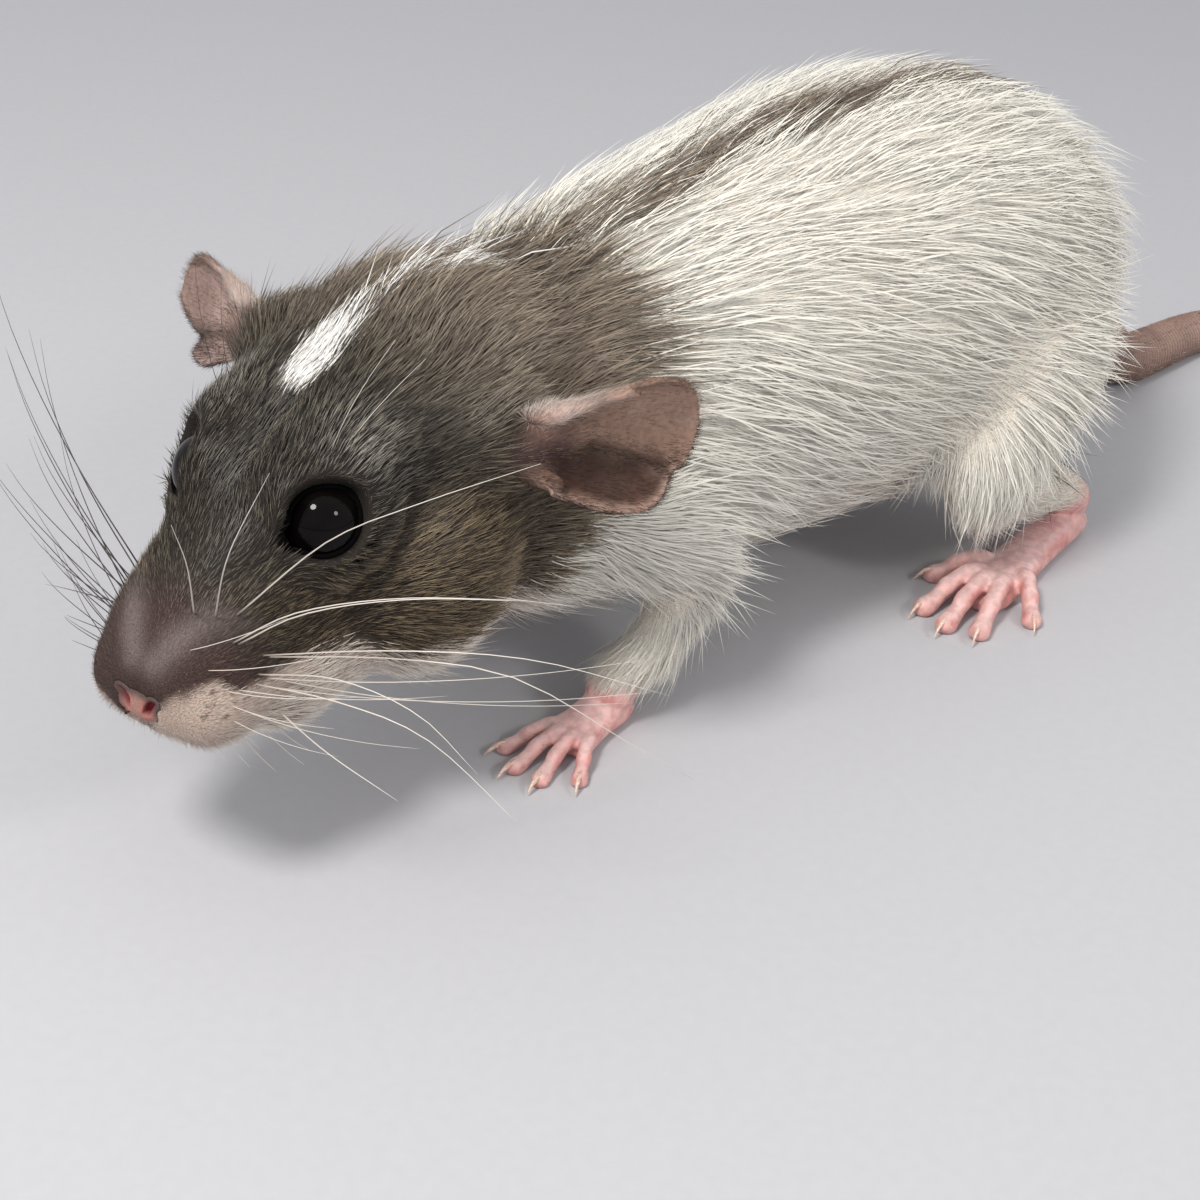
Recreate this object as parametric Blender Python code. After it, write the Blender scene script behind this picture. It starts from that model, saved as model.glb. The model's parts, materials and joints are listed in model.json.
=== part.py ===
"""Life-size still model of a young pet rat, standing on all four feet with its tail laid round to its left.

Metres, +Z up. The rat faces +X, its left side is +Y, and the floor is z = 0. The head is shaped in a frame of its
own, with its origin at the tip of the nose, and is then set on the neck. The trunk, limbs and head are modelled as
one smooth body, which thin cuts then divide into the named pieces.
"""

import math

import bmesh
import bpy
import numpy as np
from mathutils import Matrix, Vector
from mathutils.bvhtree import BVHTree

MM = 0.001
GAP = 0.3 * MM  # between pieces that touch
MERGE = 0.003 * MM  # points nearer than this are one
CUTTER_REACH = 120 * MM  # longer than anything that a cutter has to pass through

# Trunk, from the neck to the root of the tail: x, y, z, half width, height above and depth below that point
TRUNK = [
    (58, 0, 36, 13.0, 13.5, 14),
    (46, 0, 34.5, 15.5, 17.0, 17),
    (32, 0, 33, 18.5, 20.5, 21),
    (15, 0, 33.5, 21.5, 22.8, 24),
    (-5, 0, 34.5, 23.8, 25.2, 26),
    (-26, 0, 35, 26, 27, 27),
    (-46, 0, 33.5, 25.4, 25.5, 25),
    (-60.5, 0, 30, 20, 21, 19.5),
    (-71.5, 0, 25.5, 13, 14, 12.5),
    (-78.5, 0, 21.5, 8, 8.6, 7),
    (-83.5, 0, 19.5, 5.2, 5.2, 5.2),
]
TRUNK_STEPS = 5
TRUNK_SIDES = 36
TRUNK_SQUARENESS = 2.1  # of the superellipse that each ring follows: 2 is an ellipse

# Head, back from the tip of the nose: distance, half width, top, bottom
SKULL = [
    (-0.4, 3.4, 3.4, -2.6),
    (1.4, 5.6, 5.4, -4.9),
    (4.6, 7.2, 7.6, -6.8),
    (9.0, 8.2, 9.9, -7.8),
    (14.0, 8.7, 12.2, -8.8),
    (20.0, 9.6, 14.6, -10.2),
    (25.0, 11.6, 16.2, -11.4),
    (31.0, 14.0, 17.4, -12.8),
    (38.0, 15.8, 18.4, -14.2),
    (45.0, 16.4, 18.2, -15.4),
    (54.0, 14.5, 14.8, -15.0),
]
JAW = [
    (5.8, 2.0, -7.4, -9.8),
    (8.2, 4.0, -5.5, -11.6),
    (13.0, 6.0, -5.0, -12.8),
    (20.0, 8.6, -5.0, -14.4),
    (30.0, 11.0, -6.0, -16.0),
    (42.0, 12.0, -8.0, -17.2),
]
HEAD_STEPS = 4
HEAD_SIDES = 32
SKULL_SQUARENESS = 2.25
HEAD_MIDDLE = 0.45  # share of the way up from its bottom line to its top line where a ring is widest
NECK_JOINT = (-44.0, 0.0, 2.0)  # in the head's frame
HEAD_SEAT = (45.5, 0.0, 37.5)  # where that point lies on the body
HEAD_PITCH = 15.0  # degrees, nose down
HEAD_YAW = 12.0  # degrees, to its left
HEAD_ROLL = -4.0  # degrees, left side down

# Swellings of the head, each on both sides: centre, radii
CHEEK = ((-31.0, 10.6, -3.6), (12.0, 6.8, 10.8))
WHISKER_PAD = ((-6.4, 4.6, -1.8), (6.6, 4.3, 5.0))
EYE_MOUND = ((-20.8, 6.2, 8.9), (6.6, 3.2, 4.6))
BROW = ((-26.5, 7.2, 10.2), (8.0, 3.6, 3.6))
LIP_SIDE = ((-17.0, 6.2, -4.8), (10.5, 4.6, 6.2))
EAR_MOUND = ((-39.6, 13.2, 8.4), (6.2, 4.4, 5.8))

EYE_CENTRE = (-19.8, 7.6, 10.0)
EYE_RADIUS = 3.65
EYE_AXIS = (0.48, 0.67, 0.57)  # the way that the eye looks out
EYE_MESH = (16, 10)  # segments round it, and rings from pole to pole
LID_OPENING = 3.5  # radius of the visible eye
LID_RADIUS = 3.75  # of the middle of the lids' rim, whose section is round
LID_THICKNESS = 0.5
LID_MESH = (6, 20)  # sides of that section, and steps round the eye

NOSE_PAD = ((-0.6, 0.0, -1.6), (2.1, 2.5, 2.1))
NOSE_MESH = (14, 9)
NOSTRIL = ((0.1, 1.65, -1.5), (1.5, 0.5, 0.7))
NOSTRIL_MESH = (8, 6)
NOSTRIL_TURN = 38.0  # degrees in plan, the pits opening forward and out
# The line of the mouth runs on the surface, at these bearings from a point inside, lower towards its corners
MOUTH_INSIDE = (-12.5, 0.0)
MOUTH_BEARING = 104.0  # degrees from straight ahead to each corner
MOUTH_HEIGHTS = (-7.3, -9.6)
MOUTH_POINTS = 11
PHILTRUM_HEIGHTS = (-4.6, -7.5)
PHILTRUM_POINTS = 4
LINE_RADIUS = 0.45
LINE_SIDES = 6
LINE_UPRIGHT = (0.3, 0.1, 1.0)  # a direction that neither line ever follows

# Ear: a cup opened forward and out, on a short root at the side of the head
EAR_ROOT = (-39.6, 14.8, 9.0)
EAR_START = 2.4  # of the cup, from the root
EAR_LENGTHS = {1: 16.2, -1: 13.0}  # of the left and the right cup
EAR_WIDTH = 15.6
EAR_WIDEST = 0.56  # share of its length where it is that wide
EAR_BASE = 0.36  # its width at the bottom, as a share of the widest
EAR_TIP = 0.17  # and at the very tip
EAR_CUP = 4.0  # depth of the cup
EAR_CUP_FADE = (1.2, -0.8)  # share of that depth at the bottom, and what it loses towards the tip
EAR_LEANS = {1: 1.2, -1: 5.2}  # how far the left tip leans forward and the right one curls over
EAR_LEAN_POWERS = {1: 2.0, -1: 3.0}  # the more, the nearer to the tip it starts
EAR_THICKNESS = 0.75
# The root, a tapered stub: place along the ear, half width, half thickness
EAR_STEM = ((-3.0, 4.0, 3.4), (0.0, 3.9, 3.3), (2.6, 3.6, 2.9), (5.2, 2.8, 2.1), (7.2, 1.2, 0.9))
EAR_STEM_DEPTH = -0.5  # behind the sheet
EAR_STEM_SIDES = 10
# For the left and the right ear, both written as for a left one: from root to tip, and the way that the cup opens
EAR_AXES = {1: (-0.54, 0.84, 0.0), -1: (-0.37, 0.89, -0.20)}
EAR_FACES = {1: (0.80, 0.52, 0.16), -1: (0.84, 0.40, 0.20)}
EAR_ROWS = 9
EAR_CROWDING = 1.5  # above 1, the rows lie closer towards the tip
EAR_COLUMNS = 8

# Limbs: x, y, z, half width, reach forward, reach back, down each left limb; the right ones are mirrored
FORE_LIMB = [
    (33, 11.5, 36, 6.5, 9, 9),
    (27, 14.5, 27, 6.8, 8.5, 8.5),
    (19, 16.2, 19, 5.8, 6.2, 6.2),
    (20.5, 16.0, 12, 4.2, 4.4, 4.4),
    (26, 15.0, 6.6, 3.0, 2.9, 2.9),
    (28.5, 14.6, 3.8, 2.9, 2.6, 2.6),
    (29.5, 14.6, 1.8, 1.5, 1.4, 1.4),
]
HIND_LIMB = [
    (-47, 12, 42, 9.0, 14, 14),
    (-40, 18.6, 32, 10.0, 17, 15),
    (-34, 21.6, 24, 8.6, 14, 12),
    (-30, 23.2, 17, 6.3, 8.5, 8.5),
    (-39.5, 23.2, 12.4, 4.4, 5.0, 5.0),
    (-48.5, 23.0, 9.2, 3.4, 3.6, 3.6),
    (-53.5, 22.8, 5.6, 2.9, 2.8, 2.8),
    (-53.0, 22.8, 2.4, 2.0, 1.8, 1.8),
]
LIMB_STEPS = 5
LIMB_SIDES = 20
FORE_STEP = 7.0  # the right fore foot stands this much behind the left
HIND_STEP = 9.0  # and the right hind foot this much ahead of the left
PART_SHARE = 0.6  # of a foot's step by which the top of its limb moves along

# Feet: where the ankle stands, the length and half widths of the sole, its height, and the turn out in degrees
FORE_FOOT = dict(ankle=(28.5, 14.6), sole=7.5, heel=2.6, ball=3.3, height=4.4, turn=8.0)
HIND_FOOT = dict(ankle=(-53.5, 22.8), sole=24.0, heel=2.9, ball=3.9, height=4.6, turn=9.0)
# Toes from the inner to the outer side: place along the sole, place across it, heading in degrees, length, radius
FORE_TOES = [
    (7.2, -2.4, -24.0, 6.4, 0.95),
    (8.0, -0.8, -7.0, 7.6, 1.0),
    (8.0, 0.9, 8.0, 7.6, 1.0),
    (7.0, 2.5, 27.0, 6.2, 0.95),
]
HIND_TOES = [
    (19.5, -3.6, -40.0, 6.8, 1.25),
    (24.0, -2.6, -12.0, 10.0, 1.3),
    (25.0, -0.4, 0.0, 10.8, 1.3),
    (24.4, 2.0, 10.0, 10.2, 1.3),
    (20.5, 3.7, 33.0, 7.6, 1.25),
]
# The sole from its heel forward: place in millimetres from the ankle, plus this share of its length, then its half
# width and its height as shares of the foot's
SOLE_PROFILE = (
    (-3.2, 0.0, 0.55, 0.45),
    (-1.6, 0.0, 0.95, 0.86),
    (0.0, 0.15, 1.0, 1.0),
    (0.0, 0.5, 0.96, 0.92),
    (0.0, 0.85, 1.0, 0.80),
    (0.0, 1.05, 0.92, 0.56),
    (0.0, 1.15, 0.60, 0.36),
)
SOLE_STEPS = 2
SOLE_SQUARENESS = 2.3
SOLE_FLAT = 0.25  # how much the floor cuts off each pad and toe
FOOT_SIDES = 9
# A toe, arched from its knuckle to its pad: place as a share of its length, lift and thickness in toe radii
TOE_PROFILE = ((-0.15, 1.2, 1.05), (0.3, 1.5, 0.98), (0.84, 0.0, 1.12), (1.0, 0.0, 0.62))
TOE_SIDES = 6
CLAW_LENGTH = 2.4
CLAW_RADIUS = 0.55
CLAW_PROFILE = ((-0.4, 1.0), (0.4, 0.8), (1.0, 0.2))  # place as a share of its length, thickness
CLAW_NARROW = 0.8  # its width as a share of its thickness
CLAW_ROOT = 1.25  # height at which it leaves the toe, in toe radii
CLAW_TIP = 0.35  # height of its point, in millimetres
CLAW_SIDES = 4
SPLIT_FORE = 7.4  # height at which a fore foot parts from its leg
SPLIT_HIND = 7.2

# Tail: radius at its root and tip, and the way that it lies
TAIL_LENGTH = 165.0
TAIL_ROOT = (-78.5, 0.0, 19.5)
TAIL_RADII = (4.7, 1.0)
TAIL_TAPER = 0.85  # below 1, it thins fastest near the root
TAIL_DROP = 30.0  # length over which it comes down to the floor
TAIL_STRAIGHT = 12.0  # further length that lies straight behind
TAIL_BEND_RADIUS = 34.0
TAIL_BEND = 148.0  # degrees, to its left
TAIL_POINTS = 49
TAIL_SIDES = 9
TAIL_FLAT = 0.3
TAIL_PARTS = ("tail_base", "tail_middle", "tail_tip")

# The cuts between head, neck, trunk and tail: a point, and the way that the plane faces
HEAD_CUT = -46.5  # along the head's own axis, just behind the ears
NECK_CUT = ((31.0, 0.0, 34.0), (1.0, 0.05, 0.06))
RUMP_CUT = ((-81.5, 0.0, 20.0), (-1.0, 0.0, -0.30))
# The rounded cutters that part each left limb from the trunk: centre, radii, leaning in degrees about X
FORE_PART = ((24.0, 20.5, 16.0), (13.5, 10.5, 22.5), -8.0)
HIND_PART = ((-39.0, 26.5, 17.5), (21.0, 14.0, 25.5), -12.0)
PART_MESH = (22, 13)
LIMB_INNER = 9.5  # nothing nearer than this to the middle belongs to a limb

VOXEL = 0.75
SMOOTHING = 9  # passes, each half way to the mean of the points around
BODY_TRIANGLES = 5600
HEAD_SHARE = 0.44  # of those, the share that the head keeps
BEHIND_HEAD = "behind_head"
GROUP_FORCE = 1000.0  # keeps the thinning on its own side of the cut behind the head

# Colour and roughness of each material
FINISHES = {
    "dark_fur": ((0.105, 0.085, 0.070, 1.0), 0.75),
    "pale_fur": ((0.66, 0.61, 0.50, 1.0), 0.8),
    "pink_skin": ((0.70, 0.36, 0.34, 1.0), 0.5),
    "ear_skin": ((0.27, 0.17, 0.15, 1.0), 0.6),
    "tail_skin": ((0.33, 0.23, 0.20, 1.0), 0.6),
    "eye_black": ((0.004, 0.004, 0.005, 1.0), 0.05),
}


def face_outward(bm):
    """Turns a closed surface right side out."""
    bmesh.ops.recalc_face_normals(bm, faces=bm.faces)
    if bm.calc_volume(signed=True) < 0:
        bmesh.ops.reverse_faces(bm, faces=bm.faces)


def material(name, colour, roughness):
    """A Principled material of one colour."""
    made = bpy.data.materials.new(name)
    made.use_nodes = True
    shader = made.node_tree.nodes["Principled BSDF"]
    shader.inputs["Base Color"].default_value = colour
    shader.inputs["Roughness"].default_value = roughness
    return made


def link(name, bm, finish=None, smooth=True):
    """A new object from a bmesh, which is freed."""
    mesh = bpy.data.meshes.new(name)
    bm.to_mesh(mesh)
    bm.free()
    made = bpy.data.objects.new(name, mesh)
    bpy.context.scene.collection.objects.link(made)
    if finish is not None:
        mesh.materials.append(finish)
    if smooth:
        mesh.shade_smooth()
    return made


def drop(obj):
    bpy.data.objects.remove(obj, do_unlink=True)


def spline(rows, steps):
    """A smooth curve through the rows, with `steps` rows for each of the spans between them."""
    rows = np.asarray(rows, float)
    ends = np.vstack([2 * rows[0] - rows[1], rows, 2 * rows[-1] - rows[-2]])
    made = []
    for i in range(len(rows) - 1):
        a, b, c, d = ends[i : i + 4]
        for t in np.arange(steps) / steps:
            made.append(
                0.5
                * (2 * b + (c - a) * t + (2 * a - 5 * b + 4 * c - d) * t**2 + (3 * b - a - 3 * c + d) * t**3)
            )
    made.append(rows[-1])
    return np.array(made)


def ring(bm, centre, side, up, half_width, above, below, squareness, sides):
    """A loop of edges round a centre: a superellipse whose upper and lower halves differ in height."""
    loop = bmesh.ops.create_circle(bm, segments=sides, radius=1.0)["verts"]
    for vert in loop:
        across, rise = vert.co.x, vert.co.y
        across = math.copysign(abs(across) ** (2 / squareness), across) * half_width
        rise = math.copysign(abs(rise) ** (2 / squareness), rise) * (above if rise > 0 else below)
        vert.co = centre + side * across + up * rise
    return list({edge for vert in loop for edge in vert.link_edges})


def loft(bm, rows, upright, sides, squareness=2.0):
    """A closed tube through rows of x, y, z, half width, above and below, in millimetres."""
    rows = np.asarray(rows, float)
    points = [Vector(row[:3]) * MM for row in rows]
    loops = []
    for i, row in enumerate(rows):
        along = (points[min(i + 1, len(rows) - 1)] - points[max(i - 1, 0)]).normalized()
        side = upright.cross(along).normalized()
        up = along.cross(side).normalized()
        sizes = [value * MM for value in row[3:6]]
        loops.append(ring(bm, points[i], side, up, *sizes, squareness, sides))
    for first, second in zip(loops, loops[1:]):
        bmesh.ops.bridge_loops(bm, edges=first + second)
    bmesh.ops.holes_fill(bm, edges=loops[0] + loops[-1], sides=0)
    face_outward(bm)


def ellipsoid(bm, centre, radii, turn=None, segments=24, rings=14):
    """A closed ellipsoid, in millimetres, turned about its centre."""
    place = Matrix.Translation(Vector(centre) * MM)
    place = place @ (turn if turn is not None else Matrix.Identity(4))
    place = place @ Matrix.Diagonal([radius * MM for radius in radii] + [1.0])
    bmesh.ops.create_uvsphere(bm, u_segments=segments, v_segments=rings, radius=1.0, matrix=place)


def mirrored(point, side):
    return (point[0], point[1] * side, point[2])


def steps_of(side):
    """How far the fore and the hind foot of a side stand ahead of where the left ones do."""
    return (0.0, 0.0) if side == 1 else (-FORE_STEP, HIND_STEP)


def head_matrix():
    """From the head's frame, in metres, to the rat's."""
    turn = (
        Matrix.Rotation(math.radians(HEAD_YAW), 4, "Z")
        @ Matrix.Rotation(math.radians(HEAD_PITCH), 4, "Y")
        @ Matrix.Rotation(math.radians(HEAD_ROLL), 4, "X")
    )
    seat = Matrix.Translation(Vector(HEAD_SEAT) * MM)
    return seat @ turn @ Matrix.Translation(-Vector(NECK_JOINT) * MM)


def head_rows(stations):
    """Stations of the head as rows for a loft: the widest line lies a little below the middle."""
    rows = []
    for back, half_width, top, bottom in spline(stations, HEAD_STEPS):
        middle = bottom + HEAD_MIDDLE * (top - bottom)
        rows.append((-back, 0.0, middle, half_width, top - middle, middle - bottom))
    return rows


def add_head(bm):
    """Skull, muzzle, jaw and the swellings of the face, in the head's own frame, then set on the neck."""
    head = bmesh.new()
    loft(head, head_rows(SKULL), Vector((0, 0, 1)), HEAD_SIDES, SKULL_SQUARENESS)
    loft(head, head_rows(JAW), Vector((0, 0, 1)), HEAD_SIDES)
    for side in (1, -1):
        for centre, radii in (CHEEK, WHISKER_PAD, LIP_SIDE, EYE_MOUND, BROW, EAR_MOUND):
            ellipsoid(head, mirrored(centre, side), radii)
    head.transform(head_matrix())
    mesh = bpy.data.meshes.new("head_form")
    head.to_mesh(mesh)
    head.free()
    bm.from_mesh(mesh)
    bpy.data.meshes.remove(mesh)


def limb_rows(rows, side, step):
    """The rows of a left limb, mirrored for a right one, its foot moved along by `step`."""
    made = []
    for i, (x, y, z, *sizes) in enumerate(rows):
        share = i / (len(rows) - 1)
        made.append((x + step * share, y * side, z, *sizes))
    return spline(made, LIMB_STEPS)


def whole_body():
    """Head, trunk and limbs as one smooth closed surface of triangles, finest on the head."""
    bm = bmesh.new()
    loft(bm, spline(TRUNK, TRUNK_STEPS), Vector((0, 0, 1)), TRUNK_SIDES, TRUNK_SQUARENESS)
    add_head(bm)
    for side in (1, -1):
        fore_step, hind_step = steps_of(side)
        loft(bm, limb_rows(FORE_LIMB, side, fore_step), Vector((1, 0, 0)), LIMB_SIDES)
        loft(bm, limb_rows(HIND_LIMB, side, hind_step), Vector((1, 0, 0)), LIMB_SIDES)
    body = link("body_form", bm)
    remesh = body.modifiers.new("one_surface", "REMESH")
    remesh.mode = "VOXEL"
    remesh.voxel_size = VOXEL * MM
    smooth = body.modifiers.new("soften", "SMOOTH")
    smooth.factor = 0.5
    smooth.iterations = SMOOTHING
    apply_modifiers(body)
    thin_out(body)
    return body


def apply_modifiers(obj):
    """Replaces the object's mesh by what its modifiers make of it."""
    graph = bpy.context.evaluated_depsgraph_get()
    graph.update()
    made = bpy.data.meshes.new_from_object(obj.evaluated_get(graph), depsgraph=graph)
    old = obj.data
    obj.modifiers.clear()
    obj.data = made
    bpy.data.meshes.remove(old)


def thin_out(body):
    """Fewer triangles, first behind the head and then on it, so that the head keeps its share of them."""
    point, facing = (Vector(value) for value in head_cut())
    behind = [vert.index for vert in body.data.vertices if (vert.co / MM - point).dot(facing) < 0]
    body.vertex_groups.new(name=BEHIND_HEAD).add(behind, 1.0, "REPLACE")
    rest_count = 2 * len(behind)
    head_count = 2 * len(body.data.vertices) - rest_count
    rest_keeps = BODY_TRIANGLES * (1 - HEAD_SHARE)
    passes = (
        (False, (head_count + rest_keeps) / (head_count + rest_count)),
        (True, BODY_TRIANGLES / (head_count + rest_keeps)),
    )
    for on_head, ratio in passes:
        fewer = body.modifiers.new("fewer", "DECIMATE")
        fewer.ratio = ratio
        fewer.vertex_group = BEHIND_HEAD
        fewer.vertex_group_factor = GROUP_FORCE
        fewer.invert_vertex_group = on_head
        apply_modifiers(body)


def copy_of(obj, name, finish=None):
    made = bpy.data.objects.new(name, obj.data.copy())
    bpy.context.scene.collection.objects.link(made)
    if finish is not None:
        made.data.materials.clear()
        made.data.materials.append(finish)
    return made


def boolean(obj, other, operation):
    """Applies one Boolean to obj and removes the other shape."""
    cut = obj.modifiers.new("cut", "BOOLEAN")
    cut.operation = operation
    cut.solver = "MANIFOLD"
    cut.object = other
    apply_modifiers(obj)
    drop(other)


def fuse(name, shapes, finish):
    """One closed body from several overlapping ones."""
    group = bpy.data.collections.new(name + "_pieces")
    bpy.context.scene.collection.children.link(group)
    for shape in shapes[1:]:
        for holder in list(shape.users_collection):
            holder.objects.unlink(shape)
        group.objects.link(shape)
    base = shapes[0]
    join = base.modifiers.new("join", "BOOLEAN")
    join.operation = "UNION"
    join.solver = "MANIFOLD"
    join.operand_type = "COLLECTION"
    join.collection = group
    apply_modifiers(base)
    for shape in list(group.objects):
        drop(shape)
    bpy.data.collections.remove(group)
    base.name = name
    base.data.materials.clear()
    base.data.materials.append(finish)
    return base


def keep_largest(obj):
    """Leaves only the closed surface of the greatest volume."""
    bm = bmesh.new()
    bm.from_mesh(obj.data)
    bmesh.ops.triangulate(bm, faces=bm.faces)
    islands, seen = [], set()
    for start in bm.faces:
        if start in seen:
            continue
        island, front = [], [start]
        seen.add(start)
        while front:
            face = front.pop()
            island.append(face)
            for edge in face.edges:
                for other in edge.link_faces:
                    if other not in seen:
                        seen.add(other)
                        front.append(other)
        islands.append(island)
    islands.sort(key=volume_of, reverse=True)
    for island in islands[1:]:
        bmesh.ops.delete(bm, geom=island, context="FACES")
    bmesh.ops.delete(bm, geom=[v for v in bm.verts if not v.link_faces], context="VERTS")
    bmesh.ops.remove_doubles(bm, verts=bm.verts, dist=MERGE)
    bmesh.ops.dissolve_degenerate(bm, edges=bm.edges, dist=MERGE)
    bmesh.ops.triangulate(bm, faces=[face for face in bm.faces if len(face.verts) > 3])
    bm.to_mesh(obj.data)
    bm.free()


def volume_of(faces):
    total = 0.0
    for face in faces:
        a, b, c = (loop.vert.co for loop in face.loops)
        total += a.dot(b.cross(c)) / 6
    return total


def cut_by_plane(obj, point, facing, gap=0.0):
    """Removes what lies on the side that `facing` points to, from `gap` before the plane."""
    bm = bmesh.new()
    bm.from_mesh(obj.data)
    facing = Vector(facing).normalized()
    where = Vector(point) * MM - facing * gap
    geom = list(bm.verts) + list(bm.edges) + list(bm.faces)
    done = bmesh.ops.bisect_plane(bm, geom=geom, plane_co=where, plane_no=facing, clear_outer=True)
    rim = [item for item in done["geom_cut"] if isinstance(item, bmesh.types.BMEdge)]
    bmesh.ops.holes_fill(bm, edges=rim, sides=0)
    bmesh.ops.triangulate(bm, faces=[face for face in bm.faces if len(face.verts) > 3])
    bm.to_mesh(obj.data)
    bm.free()


def limb_cutter(part, side, step, grow):
    """The rounded region that holds a limb, grown by `grow`, kept off the middle of the body."""
    centre, radii, lean = part
    x, y, z = centre
    bm = bmesh.new()
    turn = Matrix.Rotation(math.radians(lean * side), 4, "X")
    grown = [radius + grow / MM for radius in radii]
    ellipsoid(bm, (x + step, y * side, z), grown, turn, *PART_MESH)
    cutter = link("cutter", bm)
    inner = Vector((0, (LIMB_INNER * MM - grow) / MM * side, 0))
    cut_by_plane(cutter, inner, (0, -side, 0))
    return cutter


def head_cut():
    """The plane that parts the head from the neck: a point in millimetres, and the way that it faces."""
    place = head_matrix()
    point = place @ (Vector((HEAD_CUT, 0.0, 0.0)) * MM)
    return tuple(point / MM), tuple(place.to_3x3() @ Vector((1.0, 0.0, 0.0)))


def reversed_plane(plane):
    point, facing = plane
    return point, tuple(-value for value in facing)


def make_trunk_and_head(body, looks):
    """Cuts the body into head, neck, torso and the four legs."""
    head = copy_of(body, "head", looks["dark_fur"])
    cut_by_plane(head, *reversed_plane(head_cut()))
    neck = copy_of(body, "neck", looks["dark_fur"])
    cut_by_plane(neck, *head_cut(), gap=GAP)
    cut_by_plane(neck, *reversed_plane(NECK_CUT))
    torso = copy_of(body, "torso", looks["pale_fur"])
    cut_by_plane(torso, *NECK_CUT, gap=GAP)
    cut_by_plane(torso, *RUMP_CUT)
    for side, word in ((1, "left"), (-1, "right")):
        fore_step, hind_step = (step * PART_SHARE for step in steps_of(side))
        plans = (
            (f"front_{word}_leg", FORE_PART, fore_step, SPLIT_FORE),
            (f"hind_{word}_leg", HIND_PART, hind_step, SPLIT_HIND),
        )
        for name, part, step, split in plans:
            leg = copy_of(body, name, looks["pale_fur"])
            boolean(leg, limb_cutter(part, side, step, 0.0), "INTERSECT")
            cut_by_plane(leg, (0, 0, split), (0, 0, -1))
            boolean(torso, limb_cutter(part, side, step, GAP), "DIFFERENCE")
            if name.startswith("front"):
                cut_by_plane(leg, *head_cut(), gap=GAP)
                boolean(neck, limb_cutter(part, side, step, GAP), "DIFFERENCE")
            keep_largest(leg)
    keep_largest(torso)
    keep_largest(neck)
    return head, neck, torso


def sphere_object(name, centre, radii, counts, place, turn=None):
    """An ellipsoid of the head as an object, with `counts` segments and rings."""
    bm = bmesh.new()
    ellipsoid(bm, centre, radii, turn, *counts)
    bm.transform(place)
    return link(name, bm)


def lid_rim(centre, axis, place):
    """The rim of the lids, a closed ring made by spinning a circle about the axis."""
    sides, steps = LID_MESH
    bm = bmesh.new()
    circle = bmesh.ops.create_circle(bm, segments=sides, radius=LID_THICKNESS * MM)["verts"]
    bmesh.ops.rotate(bm, verts=circle, cent=(0, 0, 0), matrix=Matrix.Rotation(math.pi / 2, 3, "X"))
    bmesh.ops.translate(bm, verts=circle, vec=(LID_RADIUS * MM, 0, 0))
    bmesh.ops.spin(
        bm,
        geom=list(bm.verts) + list(bm.edges),
        cent=(0, 0, 0),
        axis=(0, 0, 1),
        angle=math.tau,
        steps=steps,
        use_merge=True,
    )
    face_outward(bm)
    turn = axis.to_track_quat("Z", "Y").to_matrix().to_4x4()
    bm.transform(place @ Matrix.Translation(centre * MM) @ turn)
    return link("lid_rim", bm)


def on_surface(head, line):
    """Points of the head's surface, in its own frame, at bearings and heights from a point in the mouth."""
    bm = bmesh.new()
    bm.from_mesh(head.data)
    bm.transform(head_matrix().inverted())
    tree = BVHTree.FromBMesh(bm)
    bm.free()
    found = []
    for bearing, height in line:
        inside = Vector((*MOUTH_INSIDE, height)) * MM
        outward = Vector((math.cos(bearing), math.sin(bearing), 0.0))
        hit = tree.ray_cast(inside + outward * CUTTER_REACH, -outward)[0]
        found.append(hit / MM)
    return found


def groove(name, points, place):
    """A thin closed tube that a Boolean cuts out as a groove."""
    rows = [(*point, LINE_RADIUS, LINE_RADIUS, LINE_RADIUS) for point in points]
    bm = bmesh.new()
    loft(bm, rows, Vector(LINE_UPRIGHT), LINE_SIDES)
    bm.transform(place)
    return link(name, bm)


def detail_head(head, looks):
    """Eyes in their sockets with lids, the nose pad with its nostrils, and the line of the mouth."""
    place = head_matrix()
    for side, word in ((1, "left"), (-1, "right")):
        centre = mirrored(EYE_CENTRE, side)
        axis = Vector(mirrored(EYE_AXIS, side)).normalized()
        lid_centre = Vector(centre) + axis * math.sqrt(EYE_RADIUS**2 - LID_OPENING**2)
        boolean(head, lid_rim(lid_centre, axis, place), "UNION")
        boolean(head, sphere_object("socket", centre, [EYE_RADIUS + GAP / MM] * 3, EYE_MESH, place), "DIFFERENCE")
        eye = sphere_object(f"eye_{word}", centre, [EYE_RADIUS] * 3, EYE_MESH, place)
        eye.data.materials.append(looks["eye_black"])
    centre, radii = NOSE_PAD
    grown = [radius + GAP / MM for radius in radii]
    boolean(head, sphere_object("bed", centre, grown, NOSE_MESH, place), "DIFFERENCE")
    nose = sphere_object("nose", centre, radii, NOSE_MESH, place)
    nose.data.materials.append(looks["pink_skin"])
    for side in (1, -1):
        centre, radii = NOSTRIL
        turn = Matrix.Rotation(math.radians(NOSTRIL_TURN * side), 4, "Z")
        pit = sphere_object("pit", mirrored(centre, side), radii, NOSTRIL_MESH, place, turn)
        boolean(nose, pit, "DIFFERENCE")
    bearings = np.radians(np.linspace(-MOUTH_BEARING, MOUTH_BEARING, MOUTH_POINTS))
    middle, corner = MOUTH_HEIGHTS
    mouth = [(a, middle + (corner - middle) * (a / bearings[-1]) ** 2) for a in bearings]
    philtrum = [(0.0, height) for height in np.linspace(*PHILTRUM_HEIGHTS, PHILTRUM_POINTS)]
    lines = (("mouth", mouth), ("cleft", philtrum))
    for cutter in [groove(name, on_surface(head, line), place) for name, line in lines]:
        boolean(head, cutter, "DIFFERENCE")
    keep_largest(head)
    keep_largest(nose)


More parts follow.
